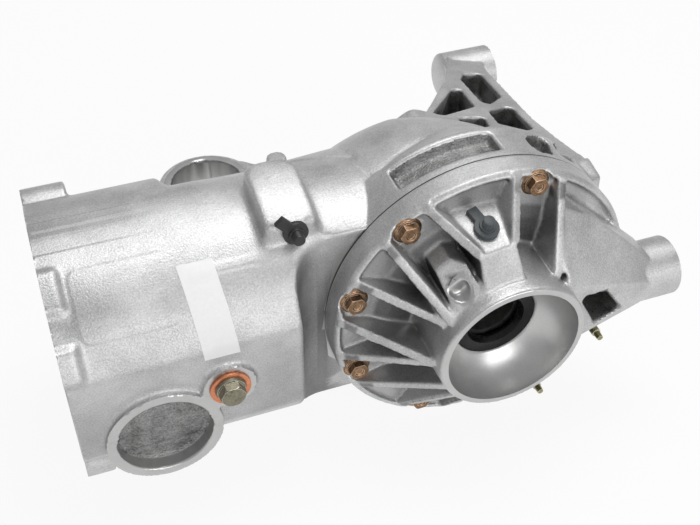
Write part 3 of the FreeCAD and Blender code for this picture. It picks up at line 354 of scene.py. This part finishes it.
# %% Finishes of the small parts
bronze_bolt = surface("bronze_bolt", (0.05, 0.025, 0.012), (0.42, 0.25, 0.14),
                      0.9, (0.32, 0.50), 700.0, 0.00010, 260.0)
# Painted highlight: the paler finish on the bolts' bevelled edges.
bronze_edge_highlight = surface("bronze_edge_highlight", (0.55, 0.42, 0.30), (0.80, 0.66, 0.52),
                      1.0, (0.26, 0.36), 900.0, 0.00003, 260.0)
olive_plug = surface("olive_plug", (0.12, 0.11, 0.07), (0.36, 0.34, 0.26),
                     0.85, (0.36, 0.52), 700.0, 0.00008, 200.0)
# Painted highlight: the paler finish on the bevelled edges of the plug and the studs.
olive_edge_highlight = surface("olive_edge_highlight", (0.50, 0.50, 0.44), (0.74, 0.73, 0.66),
                     1.0, (0.28, 0.38), 900.0, 0.00003, 260.0)
olive_stud = surface("olive_stud", (0.16, 0.15, 0.06), (0.46, 0.43, 0.22),
                     0.85, (0.34, 0.48), 900.0, 0.00004, 300.0)
bare_copper = surface("bare_copper", (0.42, 0.14, 0.07), (0.80, 0.34, 0.19),
                      1.0, (0.26, 0.42), 600.0, 0.00003, 200.0)
black_plastic = surface("black_plastic", (0.010, 0.010, 0.011), (0.030, 0.030, 0.031),
                        0.0, (0.36, 0.52), 1200.0, 0.00006, 300.0)
grey_plastic = surface("grey_plastic", (0.035, 0.04, 0.045), (0.085, 0.095, 0.10),
                       0.0, (0.42, 0.56), 1200.0, 0.00006, 300.0)
seal_rubber = surface("seal_rubber", (0.004, 0.004, 0.004), (0.012, 0.011, 0.011),
                      0.0, (0.16, 0.30), 500.0, 0.00004, 200.0)
seal_rubber.node_tree.nodes["Principled BSDF"].inputs["Specular IOR Level"].default_value = 0.2
joint_sealer = surface("joint_sealer", (0.008, 0.008, 0.008), (0.030, 0.028, 0.026),
                       0.0, (0.6, 0.8), 900.0, 0.00010, 200.0)

# %% Finishes of the parts inside
ground_steel = surface("ground_steel", (0.36, 0.36, 0.37), (0.56, 0.56, 0.57),
                       1.0, (0.22, 0.34), 1300.0, 0.00002, 150.0)
gear_steel = surface("gear_steel", (0.20, 0.20, 0.20), (0.40, 0.40, 0.41),
                     1.0, (0.28, 0.44), 900.0, 0.00004, 150.0)
black_steel = surface("black_steel", (0.03, 0.03, 0.032), (0.09, 0.09, 0.095),
                      0.9, (0.36, 0.50), 900.0, 0.00004, 200.0)
case_iron = surface("case_iron", (0.09, 0.088, 0.085), (0.22, 0.22, 0.215),
                    0.9, (0.46, 0.62), 600.0, 0.0004, 120.0)
bronze_washer = surface("bronze_washer", (0.34, 0.24, 0.11), (0.62, 0.46, 0.24),
                        1.0, (0.28, 0.40), 900.0, 0.00002, 150.0)
print(len(bpy.data.materials), "materials")

# %% [markdown]
# ## Pieces that keep the CAD's shape
# Gears, bearings, seals and shims are turned or ground, so the CAD's own mesh is already right. Each one
# only gets the finish that belongs to its material slot.

# %% Finishes of the nodes that keep their shape
slot_finish = {"gasket": joint_sealer, "steel": ground_steel, "steel_dark": black_steel,
               "copper": bare_copper, "seal_rubber": seal_rubber, "cast_iron": case_iron,
               "gear_steel": gear_steel, "bearing_steel": ground_steel, "bronze": bronze_washer,
               "bolt_bronze_zinc": bronze_bolt, "stud_yellow_zinc": olive_stud, "plug_zinc": olive_plug,
               "black_plastic": black_plastic, "dark_vent": grey_plastic,
               "cast_aluminium": cast_aluminium, "cast_aluminium_cover": cast_aluminium}
for part in frame["record"]["subparts"]:
    mesh = nodes[part["node"]].data
    mesh.materials.clear()
    mesh.materials.append(slot_finish[part["material_slot"]])

# %% [markdown]
# ## Soft cast edges
# A CAD solid has knife edges, and a casting has none: the sand and the draft leave every edge and corner
# round. The node is copied and merged, remeshed in small cubes and smoothed, which rounds edges outside and
# fills corners inside at once, as a fillet would. Faces that are machined after casting stay crisp, so the
# smoothing reads a vertex group that leaves them out. Turned surfaces are first set back to their true
# radius, because the frame's mesh has flat facets that a satin finish would show.

# %% Helpers for turned surfaces
rim_r = 97.0             # the round joint of housing and cover
nowhere = -1e3           # a radius that no point has


def true_up(points, axis, profile, reach=0.85, across=(0.0, 0.0)):
    """Set points near a turned profile to its exact radius. The profile is (stations, radii) along an axis,
    where 0 is X, 1 is Y and 2 is Z."""
    others = [i for i in range(3) if i != axis]
    a, b = points[:, others[0]] - across[0], points[:, others[1]] - across[1]
    radius = np.hypot(a, b)
    wanted = np.interp(points[:, axis], profile[0], profile[1], left=nowhere, right=nowhere)
    near = np.abs(radius - wanted) < reach
    share = np.where(near, wanted / np.maximum(radius, 1e-6), 1.0)
    points[:, others[0]] = across[0] + a * share
    points[:, others[1]] = across[1] + b * share
    return points


def arc_profile(start, middle, end, steps=60):
    """Stations and radii along the arc through three (station, radius) points."""
    (x1, y1), (x2, y2), (x3, y3) = start, middle, end
    d = 2 * (x1 * (y2 - y3) + x2 * (y3 - y1) + x3 * (y1 - y2))
    cx = ((x1**2 + y1**2) * (y2 - y3) + (x2**2 + y2**2) * (y3 - y1) + (x3**2 + y3**2) * (y1 - y2)) / d
    cy = ((x1**2 + y1**2) * (x3 - x2) + (x2**2 + y2**2) * (x1 - x3) + (x3**2 + y3**2) * (x2 - x1)) / d
    r = math.hypot(x1 - cx, y1 - cy)
    a, c = math.atan2(y1 - cy, x1 - cx), math.atan2(y3 - cy, x3 - cx)
    angles = np.linspace(a, c, steps)
    stations, radii = cx + r * np.cos(angles), cy + r * np.sin(angles)
    order = np.argsort(stations)
    return stations[order], radii[order]


def flange_trued(points, plane):
    """Set points near the cover joint to its exact plane and radius, so that it is a fine even line."""
    from_output = np.hypot(points[:, 0], points[:, 2])
    near = (np.abs(points[:, 1] - plane) < 0.8) & (from_output > 80) & (from_output < 98.5)
    points[near, 1] = plane
    rim = near & (np.abs(from_output - rim_r) < 0.9)
    return scaled_about(points, 1, (0, 0), np.where(rim, rim_r / from_output, 1))


# %% Helper that remeshes and softens a casting
triangle_limit = 190000


def casting(node, name, voxel, turned, machined, passes, reshape, soft_spot=None, stamp=None):
    """Soft-edged copy of a cast node. machined is a mask of the faces cut after casting, reshape moves
    points before the smoothing and stamp after it, and soft_spot is a mask of what is rounded far more."""
    piece = copy_of(node, name)
    modifier(piece, "REMESH", mode="VOXEL", voxel_size=voxel, use_smooth_shade=True)
    points = points_of(piece)
    for axis, profile, across in turned:
        points = true_up(points, axis, profile, across=across)
    points = reshape(points)
    set_points(piece, points)
    soft = piece.vertex_groups.new(name="as_cast")
    soft.add(np.nonzero(~machined(points))[0].tolist(), 1.0, "REPLACE")
    modifier(piece, "SMOOTH", factor=0.5, iterations=passes, vertex_group="as_cast")
    if soft_spot is not None:
        spot = piece.vertex_groups.new(name="very_soft")
        spot.add(np.nonzero(soft_spot(points))[0].tolist(), 1.0, "REPLACE")
        modifier(piece, "SMOOTH", factor=0.5, iterations=8 * passes, vertex_group="very_soft")
    if stamp is not None:
        set_points(piece, stamp(points_of(piece)))
    count = 2 * len(piece.data.polygons)
    modifier(piece, "DECIMATE", ratio=min(1.0, triangle_limit / count))
    piece.vertex_groups.clear()
    print(name, count, "triangles before thinning,", len(piece.data.polygons), "after")
    return piece


# %% [markdown]
# ## Main housing
# One casting holds the pinion, the ring gear's room, the open tunnel for the coupling, the bush eye and the
# lattice arm. The lists below name its turned surfaces and its machined faces.

# %% Places on the housing
tunnel_r = 78.0
housing_joint_y = -43.0
cup = (-204.5, -27.0)     # x and z of the round cup low on the tunnel
plug = (-164.7, 0.0)      # x and z of the level plug
eye = (-130.0, 112.0)     # x and y of the bush eye
far_boss = (180.0, 0.0)   # y and z of the boss at the arm's end
boss_r = 19.0
dome = arc_profile((-11.0, 92.0), (24.0, 73.0), (60.0, 50.0))
bulge_rise = arc_profile((-60.0, 74.0), (-38.0, 81.0), (-20.0, 84.0))
bulge_fall = arc_profile((-20.0, 84.0), (22.0, 75.0), (66.0, 50.0))
housing_turned = [
    (0, ((-252, -174), (tunnel_r, tunnel_r)), (0, 0)),
    (0, ((-166, 0), (68, 77)), (0, 0)),
    (0, ((-252, -190), (66, 66)), (0, 0)),
    (0, ((-176, 0), (74.8, 74.8)), (-7, 0)),
    (0, bulge_rise, (0, 0)),
    (0, bulge_fall, (0, 0)),
    (0, ((-131, -99), (89, 89)), (0, 0)),
    (1, ((housing_joint_y, -15), (rim_r, rim_r)), (0, 0)),
    (1, dome, (0, 0)),
    (1, ((48, 86.5), (48.6, 46.6)), (0, 0)),
    (1, ((-76, -40), (34, 34)), cup),
    (2, ((-46, -2), (35.5, 34)), eye),
    (0, ((71, 119), (boss_r, boss_r)), far_boss),
]
print(len(housing_turned), "turned surfaces on the housing")


# %% Faces that are machined after casting


def away_from(centre, a, b):
    return np.hypot(a - centre[0], b - centre[1])


def housing_machined(p):
    x, y, z = p.T
    from_output = np.hypot(x, z)
    from_input = np.hypot(y, z)
    from_cup = away_from(cup, x, z)
    from_plug = away_from(plug, x, z)
    from_eye = away_from(eye, x, y)
    from_boss = away_from(far_boss, y, z)
    masks = (
        (x < -251.2),
        (from_input < 66.8) & (x < -189),
        (y < -42.2) & (from_output < 98) & (x > -100),
        (from_cup < 28.4) & (y < -66.5),
        (from_cup < 35) & (y < -75.2),
        (from_plug < 16.6) & (y < -74.2),
        (from_eye < 25.2),
        (from_eye < 30.4) & (z > -0.8),
        (from_eye < 35.6) & (z < -45.2),
        (from_boss < 6) | ((from_boss < 20) & (x > 118.2)),
        (from_output < 47.5) & (y > 87.2),
        (from_output < 38) & (y > 40),
    )
    return np.logical_or.reduce(masks)


# %% Forms of the casting that the solid states more plainly
lug_heights = (3.2, 4.4)
neck_slimming = 0.165
boss_cone_x, boss_cone = 85.0, 0.68


def housing_shape(points):
    points = flange_trued(points, housing_joint_y)
    x, y, z = points.T
    radius, angle = np.hypot(y, z), np.degrees(np.arctan2(z, -y))
    # the crest runs on from the open end without a step on its visible side
    share = ((radius > 71) & (radius < 78.4) & (x > -178)) * (1 - soft_step(x, -165, -105))
    share = share * window(angle, 45, 98, 25)
    points = scaled_about(points, 0, (0, 0), 1 + (tunnel_r / radius - 1) * share)
    # two low lugs at the open end in place of the block round the bolt hole
    wanted = tunnel_r + lug_heights[0] * window(angle, 54, 67, 5) * window(x, -260, -244, 4)
    wanted += lug_heights[1] * window(angle, 24.5, 36, 4) * window(x, -260, -243, 4)
    lugs = (x < -233) & (radius > 77.2) & (angle > 10) & (angle < 85)
    points = scaled_about(points, 0, (0, 0), np.where(lugs, wanted / radius, 1))
    # the far neck is slimmer where it shows behind the crest
    from_output = np.hypot(points[:, 0], points[:, 2])
    share = ((y > 50) & (from_output > 38)) * soft_step(y, 52, 80) * (1 - soft_step(from_output, 50, 60))
    share *= 1 - soft_step(points[:, 0], -2, 14)
    points = scaled_about(points, 1, (0, 0), 1 - neck_slimming * share)
    # the far boss ends in a shallow cone
    from_boss = away_from(far_boss, points[:, 1], points[:, 2])
    share = boss_cone * (1 - soft_step(from_boss, 19.6, 27)) * (points[:, 0] < boss_cone_x)
    points[:, 0] += share * (boss_cone_x - points[:, 0])
    return points


def housing_soft_spot(points):
    """The raised seat of the vent, which is well rounded but for the vent's own flat."""
    x, y, z = points.T
    from_seat = np.hypot(x + 113.5, z - 74)
    return (x > -140) & (x < -91) & (y > -62) & (y < 16) & (z > 58) & ((from_seat > 8.2) | (y > -38))


# %% The low pad on the tunnel, and the housing itself
pad_x, pad_angle = -211.0, 52.0
pad_half_length, pad_half_width, pad_corner = 21.0, 15.0, 6.0
pad_height = 0.55
mm_per_degree = 1.36      # along the tunnel's round surface


def bare_pad(points):
    """Raise the low pad, with rounded corners, that an insert in the casting mould leaves on the tunnel."""
    x, y, z = points.T
    radius, angle = np.hypot(y, z), np.degrees(np.arctan2(z, -y))
    along = np.abs(x - pad_x) - pad_half_length
    around = np.abs(mm_per_degree * (angle - pad_angle)) - pad_half_width
    outside = np.hypot(np.maximum(along, 0), np.maximum(around, 0))
    edge = outside + np.minimum(np.maximum(along, around), 0) - pad_corner
    raised = pad_height * (1 - soft_step(edge, -0.7, 0.7)) * (np.abs(radius - tunnel_r) < 1.5)
    return scaled_about(points, 0, (0, 0), 1 + raised / radius)


housing = casting("main_housing", "housing_casting", 0.00125, housing_turned,
                  housing_machined, 7, housing_shape, housing_soft_spot, bare_pad)

# %% [markdown]
# ## Side cover
# The cover closes the ring gear's room and carries the near output. Fins run from its rim to the conical
# neck, the horn at the right holds the rear bolt, and the flared neck guards the seal.

# %% Side cover
cover_joint_y = -43.8
bolt_circle_r = 87.5
bolt_seat_y = -57.0
lug_hole = (-32.0, 44.0)  # x and z of the hole in the lug pad
near_boss = (-69.0, 0.0)  # y and z of the boss in the horn
bolt_angles = (73.0, 127.0, 163.5, 201.6, 245.0, 271.0)
stud_angles = (297.4, 333.0)
bowl = arc_profile((-103.0, 42.2), (-91.0, 38.5), (-79.0, 27.0))
cover_turned = [
    (1, ((-60, -43.5), (rim_r, rim_r)), (0, 0)),
    (1, ((-102, -67), (46.6, 47.6)), (0, 0)),
    (1, bowl, (0, 0)),
    (0, ((72, 124), (boss_r, boss_r)), near_boss),
]


def on_bolt_circle(degrees):
    a = math.radians(degrees)
    return bolt_circle_r * math.cos(a), bolt_circle_r * math.sin(a)


def cover_machined(p):
    x, y, z = p.T
    from_output = np.hypot(x, z)
    from_boss = away_from(near_boss, y, z)
    masks = [(y > -44.6), (y < -102.2), (from_boss < 6) | ((from_boss < 20) & (x > 123.2)),
             (from_output < 42.8) & (y < -72)]
    masks.append((away_from(lug_hole, x, z) < 7.5) & (y < -82) & (y > -100))
    for angle in bolt_angles + stud_angles:
        from_seat = away_from(on_bolt_circle(angle), x, z)
        masks.append((from_seat < 9.8) & (np.abs(y - bolt_seat_y) < 1.2))
    return np.logical_or.reduce(masks)


cover = casting("side_cover", "cover_casting", 0.00105, cover_turned,
                cover_machined, 7, lambda points: flange_trued(points, cover_joint_y))

# %% [markdown]
# ## Where the finish changes
# One piece can hold several materials, one for each face. The faces are picked by their place: machined
# faces get the smooth finish and the deep pockets the rough one, which is also painted darker as painted
# shade.
# The painted shade of hollows runs smoothly over the mesh instead, as a number on each point, so that no row
# of faces shows at its edge.

# %% Helpers that give faces their own finish


def finish_faces(piece, finishes):
    """finishes is (material, mask of the faces' middles) in order; the first stands for all other faces."""
    middles = vectors_of(piece.data.polygons, "center") / MM - (COUPLING, 0, 0)
    index = np.zeros(len(middles), np.int32)
    piece.data.materials.clear()
    for i, (material, mask) in enumerate(finishes):
        piece.data.materials.append(material)
        if mask is not None:
            index[mask(middles)] = i
    piece.data.polygons.foreach_set("material_index", index)
    piece.data.update()


def paint_recess_shade(piece, shade):
    """Store each point's painted shade, how much its colour is painted darker: shade(points, normals) gives
    0 to 1.
    """
    normals = vectors_of(piece.data.vertices, "normal")
    values = piece.data.attributes.new("painted_shade", "FLOAT", "POINT")
    values.data.foreach_set("value", shade(points_of(piece), normals).astype(np.float32))


def inside_plan(a, b, corners):
    """Mask of the points inside a polygon in two coordinates."""
    inside = np.zeros(len(a), bool)
    for (x1, y1), (x2, y2) in zip(corners, corners[1:] + corners[:1]):
        crosses = (y1 > b) != (y2 > b)
        inside ^= crosses & (a < (x2 - x1) * (b - y1) / ((y2 - y1) or 1e-9) + x1)
    return inside


# %% [markdown]
# ## Faces of the housing
# The lattice arm's pockets, the slots in the rim and the cup's floor stay as the sand left them, and their
# coarse finish is also painted darker as painted shade. The corner between the tunnel and the cover's rim,
# and
# the lower front wall, get painted shade: their colour is painted darker, the wall more so towards the
# bottom.

# %% Finishes of the housing's faces
arm_pockets = (((20, 71), (54, 113), (62, 113), (57, 80), (26, 66)),
               ((72, 134), (79, 144), (94, 144), (87, 97), (69, 82), (66, 89)),
               ((63, 71), (80, 77), (84, 73), (80, 38), (74, 35), (59, 48)),
               ((29, 61), (54, 60), (50, 44), (44, 44)))


# Painted shade: these faces get the dark pocket finish.
def housing_rough_painted_shade(p):
    x, y, z = p.T
    top = 67.6 - 0.184 * x - 0.194 * y
    in_pocket = np.zeros(len(p), bool)
    for plan in arm_pockets:
        in_pocket |= inside_plan(x, y, list(plan)) & (z < top - 1.5) & (z > 0)
    from_output = np.hypot(x, z)
    slot = (from_output < 95.5) & (from_output > 88) & (y > -38) & (y < -17)
    slot &= (z > 60) & (x > -56) & (x < 20)
    angle = np.degrees(np.arctan2(z, x))
    in_band = (from_output > 84) & (from_output < 96) & (x > 0) & (z > 0)
    lens = in_band & (angle > 56) & (angle < 70.5) & (y > -39.5) & (y < -16.5)
    corner = in_band & (angle > 31) & (angle < 57) & (y > -36.5) & (y < -2)
    cup_floor = (away_from(cup, x, z) < 28.5) & (y < -64.5) & (y > -67.5)
    return in_pocket | slot | lens | corner | cup_floor


finish_faces(housing, [(cast_aluminium, None), (machined_aluminium, housing_machined),
                       (rough_pocket_painted_shade, housing_rough_painted_shade)])

# %% Painted shade in the housing's recesses


def housing_painted_shade(p, normals):
    """Painted shade: the corner between the tunnel's end and the cover's rim, and the lower front wall,
    darker towards the bottom.
    """
    x, y, z = p.T
    corner = window(x, -119, -96, 4) * window(y, -76, -44, 6) * (1 - soft_step(z, 30, 62))
    wall = soft_step(-y, 68, 71.5) * soft_step(-z, -30, 30)
    return np.maximum(0.7 * corner, 0.25 * wall)


paint_recess_shade(housing, housing_painted_shade)
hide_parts("main_housing")
finish_piece(housing, "housing", None, smooth_deg=50)

# %% [markdown]
# ## Faces of the cover
# The pockets between the ribs are about three centimetres deep, so their floors and the walls that face down
# are painted much darker than the ribs' edges, as painted shade, and so is the hole in the lug pad. The
# window under the horn opens on rough metal, whose dark finish is also painted shade.

# %% Finishes of the cover's faces


def cover_painted_shade(p, normals):
    """Painted shade on the floors and downward walls of the pockets between the ribs, and in the lug pad's
    hole.
    """
    x, y, z = p.T
    from_output = np.hypot(x, z)
    pocket = window(from_output, 50, 91.5, 2) * (1 - soft_step(x, 60, 66))
    floor = soft_step(-normals[:, 1], 0.6, 0.9) * window(y, -66, -58, 1.5)
    wall = (1 - soft_step(np.abs(normals[:, 1]), 0.5, 0.9)) * (1 - soft_step(normals[:, 2], -0.1, 0.45))
    wall = wall * window(y, -88, -57, 4)
    hole = (away_from(lug_hole, x, z) < 5.9) & (y < -80)
    return np.maximum(pocket * np.maximum(0.8 * floor, wall), hole)


# Painted shade: the window's floor gets the dark pocket finish.
def cover_rough_painted_shade(p):
    x, y, z = p.T
    return inside_plan(x, z, [(44, 20), (66, 17), (82, -5), (60, -12)]) & (y > -92)


finish_faces(cover, [(cast_aluminium, None), (machined_aluminium, cover_machined),
                     (rough_pocket_painted_shade, cover_rough_painted_shade)])
paint_recess_shade(cover, cover_painted_shade)
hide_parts("side_cover")
finish_piece(cover, "housing", None, smooth_deg=50)

# %% [markdown]
# ## Fasteners and vents
# The small parts keep the CAD's shapes, with the narrow rounded edge that makes a machined part catch the
# light. A bevel of a few tenths of a millimetre does that, and on the bolts, the plug and the studs the
# bevel's faces get a paler finish, a painted highlight. The heads of the bolts and of the plug are drawn in
# a little, to the size that the photograph shows.

# %% Bolts, plug and vents
plug_seat_y = -76.0


def drawn_in(points, near, centre, seat_y, width, height):
    """Make a head on its seat narrower and lower, each to its own share."""
    points = scaled_about(points, 1, centre, np.where(near, width, 1))
    points[near, 1] = seat_y + height * (points[near, 1] - seat_y)
    return points


def lower_bolt_heads(points):
    for angle in bolt_angles:
        centre = on_bolt_circle(angle)
        near = (away_from(centre, points[:, 0], points[:, 2]) < 10) & (points[:, 1] < bolt_seat_y)
        points = drawn_in(points, near, centre, bolt_seat_y, 0.9, 0.74)
    return points


def lower_plug_head(points):
    return drawn_in(points, points[:, 1] < plug_seat_y, plug, plug_seat_y, 0.8, 0.7)


# Painted highlight: the bevels of the bolts and the plug take the paler second finish.
softened("cover_bolts", "cover_bolts_soft", 0.3, (bronze_bolt, bronze_edge_highlight),
         reshape=lower_bolt_heads)
softened("level_plug", "level_plug_soft", 0.35, (olive_plug, olive_edge_highlight),
         reshape=lower_plug_head)
softened("level_plug_washer", "level_plug_washer_soft", 0.3, (bare_copper, bare_copper))
softened("housing_breather", "housing_breather_soft", 0.35, (black_plastic, black_plastic))
softened("cover_breather", "cover_breather_soft", 0.35, (grey_plastic, grey_plastic))

# %% [markdown]
# ## Studs
# The two studs low on the cover show their thread. At one millimetre of pitch a ring for each turn looks the
# same as a helix, so each thread is a stack of short cones that widen and narrow in turn.

# %% Threads of the studs
thread_start_y, thread_turns = -63.0, 12
crest_r, root_r, half_pitch = 2.95, 2.7, 0.5


def cone_stack(name, start, direction, sections, vertices=40):
    """Coaxial cones one after another: sections are (length, first radius, last radius) in millimetres."""
    turn = direction.to_track_quat("Z", "Y").to_euler()
    done = 0.0
    cones = []
    for length, first, last in sections:
        middle = start + direction * ((done + length / 2) * MM)
        bpy.ops.mesh.primitive_cone_add(vertices=vertices, radius1=first * MM, radius2=last * MM,
                                        depth=length * MM, location=middle, rotation=turn)
        cones.append(bpy.context.object)
        done += length
    return joined(cones, name)


thread = [(half_pitch, crest_r, root_r), (half_pitch, root_r, crest_r)] * thread_turns
threads = [cone_stack("stud_thread", polar(bolt_circle_r, angle, thread_start_y), Vector((0, -1, 0)), thread)
           for angle in stud_angles]
# Painted highlight: the studs' bevels take the paler second finish.
softened("cover_studs", "cover_studs_soft", 0.25, (olive_stud, olive_edge_highlight), threads)

# %% [markdown]
# ## Sticker
# A plain white paper sheet lies on the round tunnel. A flat grid is bent round the axis by its own points,
# laid on the casting by Shrinkwrap and given the thickness of paper by Solidify.

# %% Blank sticker on the tunnel
sticker_paper = surface("sticker_paper", (0.80, 0.80, 0.79), (0.86, 0.86, 0.86),
                        0.0, (0.50, 0.56), 500.0, 0.00001)
sticker_x, sticker_width, sticker_slant = -171.0, 20.2, 4.4
sticker_top_deg, sticker_sweep_deg = 59.4, 42.3
start_r = 80.0            # just outside the tunnel
bpy.ops.mesh.primitive_grid_add(x_subdivisions=8, y_subdivisions=30, size=1.0, location=(0, 0, 0))
sticker = bpy.context.object
sticker.name = "blank_sticker"
for vertex in sticker.data.vertices:
    down = 0.5 - vertex.co.y
    a = math.radians(sticker_top_deg - sticker_sweep_deg * down)
    x = sticker_x + sticker_width * vertex.co.x + sticker_slant * down
    vertex.co = at(x, -start_r * math.cos(a), start_r * math.sin(a))
modifier(sticker, "SHRINKWRAP", target=housing, wrap_method="NEAREST_SURFACEPOINT",
         wrap_mode="ABOVE_SURFACE", offset=0.15 * MM)
modifier(sticker, "SOLIDIFY", thickness=0.12 * MM, offset=1.0)
finish_piece(sticker, "housing", sticker_paper)

# %% [markdown]
# ## Floor and light
# The part lies on a pale studio floor. Soft lamps from above make the bright bands on the round tops, and
# the sides, which mirror the floor and the room, stay darker. What the camera sees of the floor is nearly
# white by its own glow, as a lit studio sweep is, and its paint keeps the object's shadow.

# %% Floor
floor_gap = 0.5 * MM
glow_share = 0.9


def combined(tree, operation, first, second):
    node = tree.nodes.new("ShaderNodeMath")
    node.operation = operation
    tree.links.new(first, node.inputs[0])
    if isinstance(second, float):
        node.inputs[1].default_value = second
    else:
        tree.links.new(second, node.inputs[1])
    return node.outputs[0]


bpy.ops.mesh.primitive_plane_add(size=14.0, location=(0.19, 0, cad_box[0][2] - floor_gap))
floor = bpy.context.object
floor.name = "studio_floor"
floor_paint, tree, shader, where = new_material("floor_paint", 0.0)
paint = ramp(tree, noise(tree, where, 3.0), ((0.3, (0.76, 0.76, 0.76)), (0.7, (0.80, 0.80, 0.80))))
tree.links.new(paint, shader.inputs["Base Color"])
shader.inputs["Roughness"].default_value = 0.85
rays = tree.nodes.new("ShaderNodeLightPath")
seen = combined(tree, "MAXIMUM", rays.outputs["Is Camera Ray"], rays.outputs["Is Glossy Ray"])
seen = combined(tree, "MAXIMUM", seen, rays.outputs["Is Transmission Ray"])
share = combined(tree, "MULTIPLY", seen, glow_share)
white = tree.nodes.new("ShaderNodeEmission")
white.inputs["Color"].default_value = (1, 1, 1, 1)
white.inputs["Strength"].default_value = 1.0
blend = tree.nodes.new("ShaderNodeMixShader")
tree.links.new(share, blend.inputs[0])
tree.links.new(shader.outputs[0], blend.inputs[1])
tree.links.new(white.outputs[0], blend.inputs[2])
tree.links.new(blend.outputs[0], tree.nodes["Material Output"].inputs["Surface"])
floor.data.materials.append(floor_paint)
print("floor at", round(floor.location.z, 4), "m")

# %% World and lamps
world = bpy.data.worlds.new("studio_room")
bpy.context.scene.world = world
world.use_nodes = True
world.node_tree.nodes["Background"].inputs["Color"].default_value = (0.86, 0.86, 0.87, 1)
world.node_tree.nodes["Background"].inputs["Strength"].default_value = 0.55


def soft_lamp(name, place, size, power, aim):
    bpy.ops.object.light_add(type="AREA", location=place)
    lamp = bpy.context.object
    lamp.name = name
    lamp.data.shape = "RECTANGLE"
    lamp.data.size, lamp.data.size_y = size
    lamp.data.energy = power
    lamp.rotation_euler = (Vector(aim) - Vector(place)).to_track_quat("-Z", "Y").to_euler()
    print(name, power, "W")


soft_lamp("top_lamp", (0.5, 0.25, 1.5), (1.0, 0.8), 13, (0.2, 0, 0))
soft_lamp("front_lamp", (0.55, -1.5, 0.6), (1.2, 0.7), 9, (0.2, 0, 0))

# %% [markdown]
# ## The end
# The Standard view shows colours about as they are written.

# %% View settings
bpy.context.scene.view_settings.view_transform = "Standard"
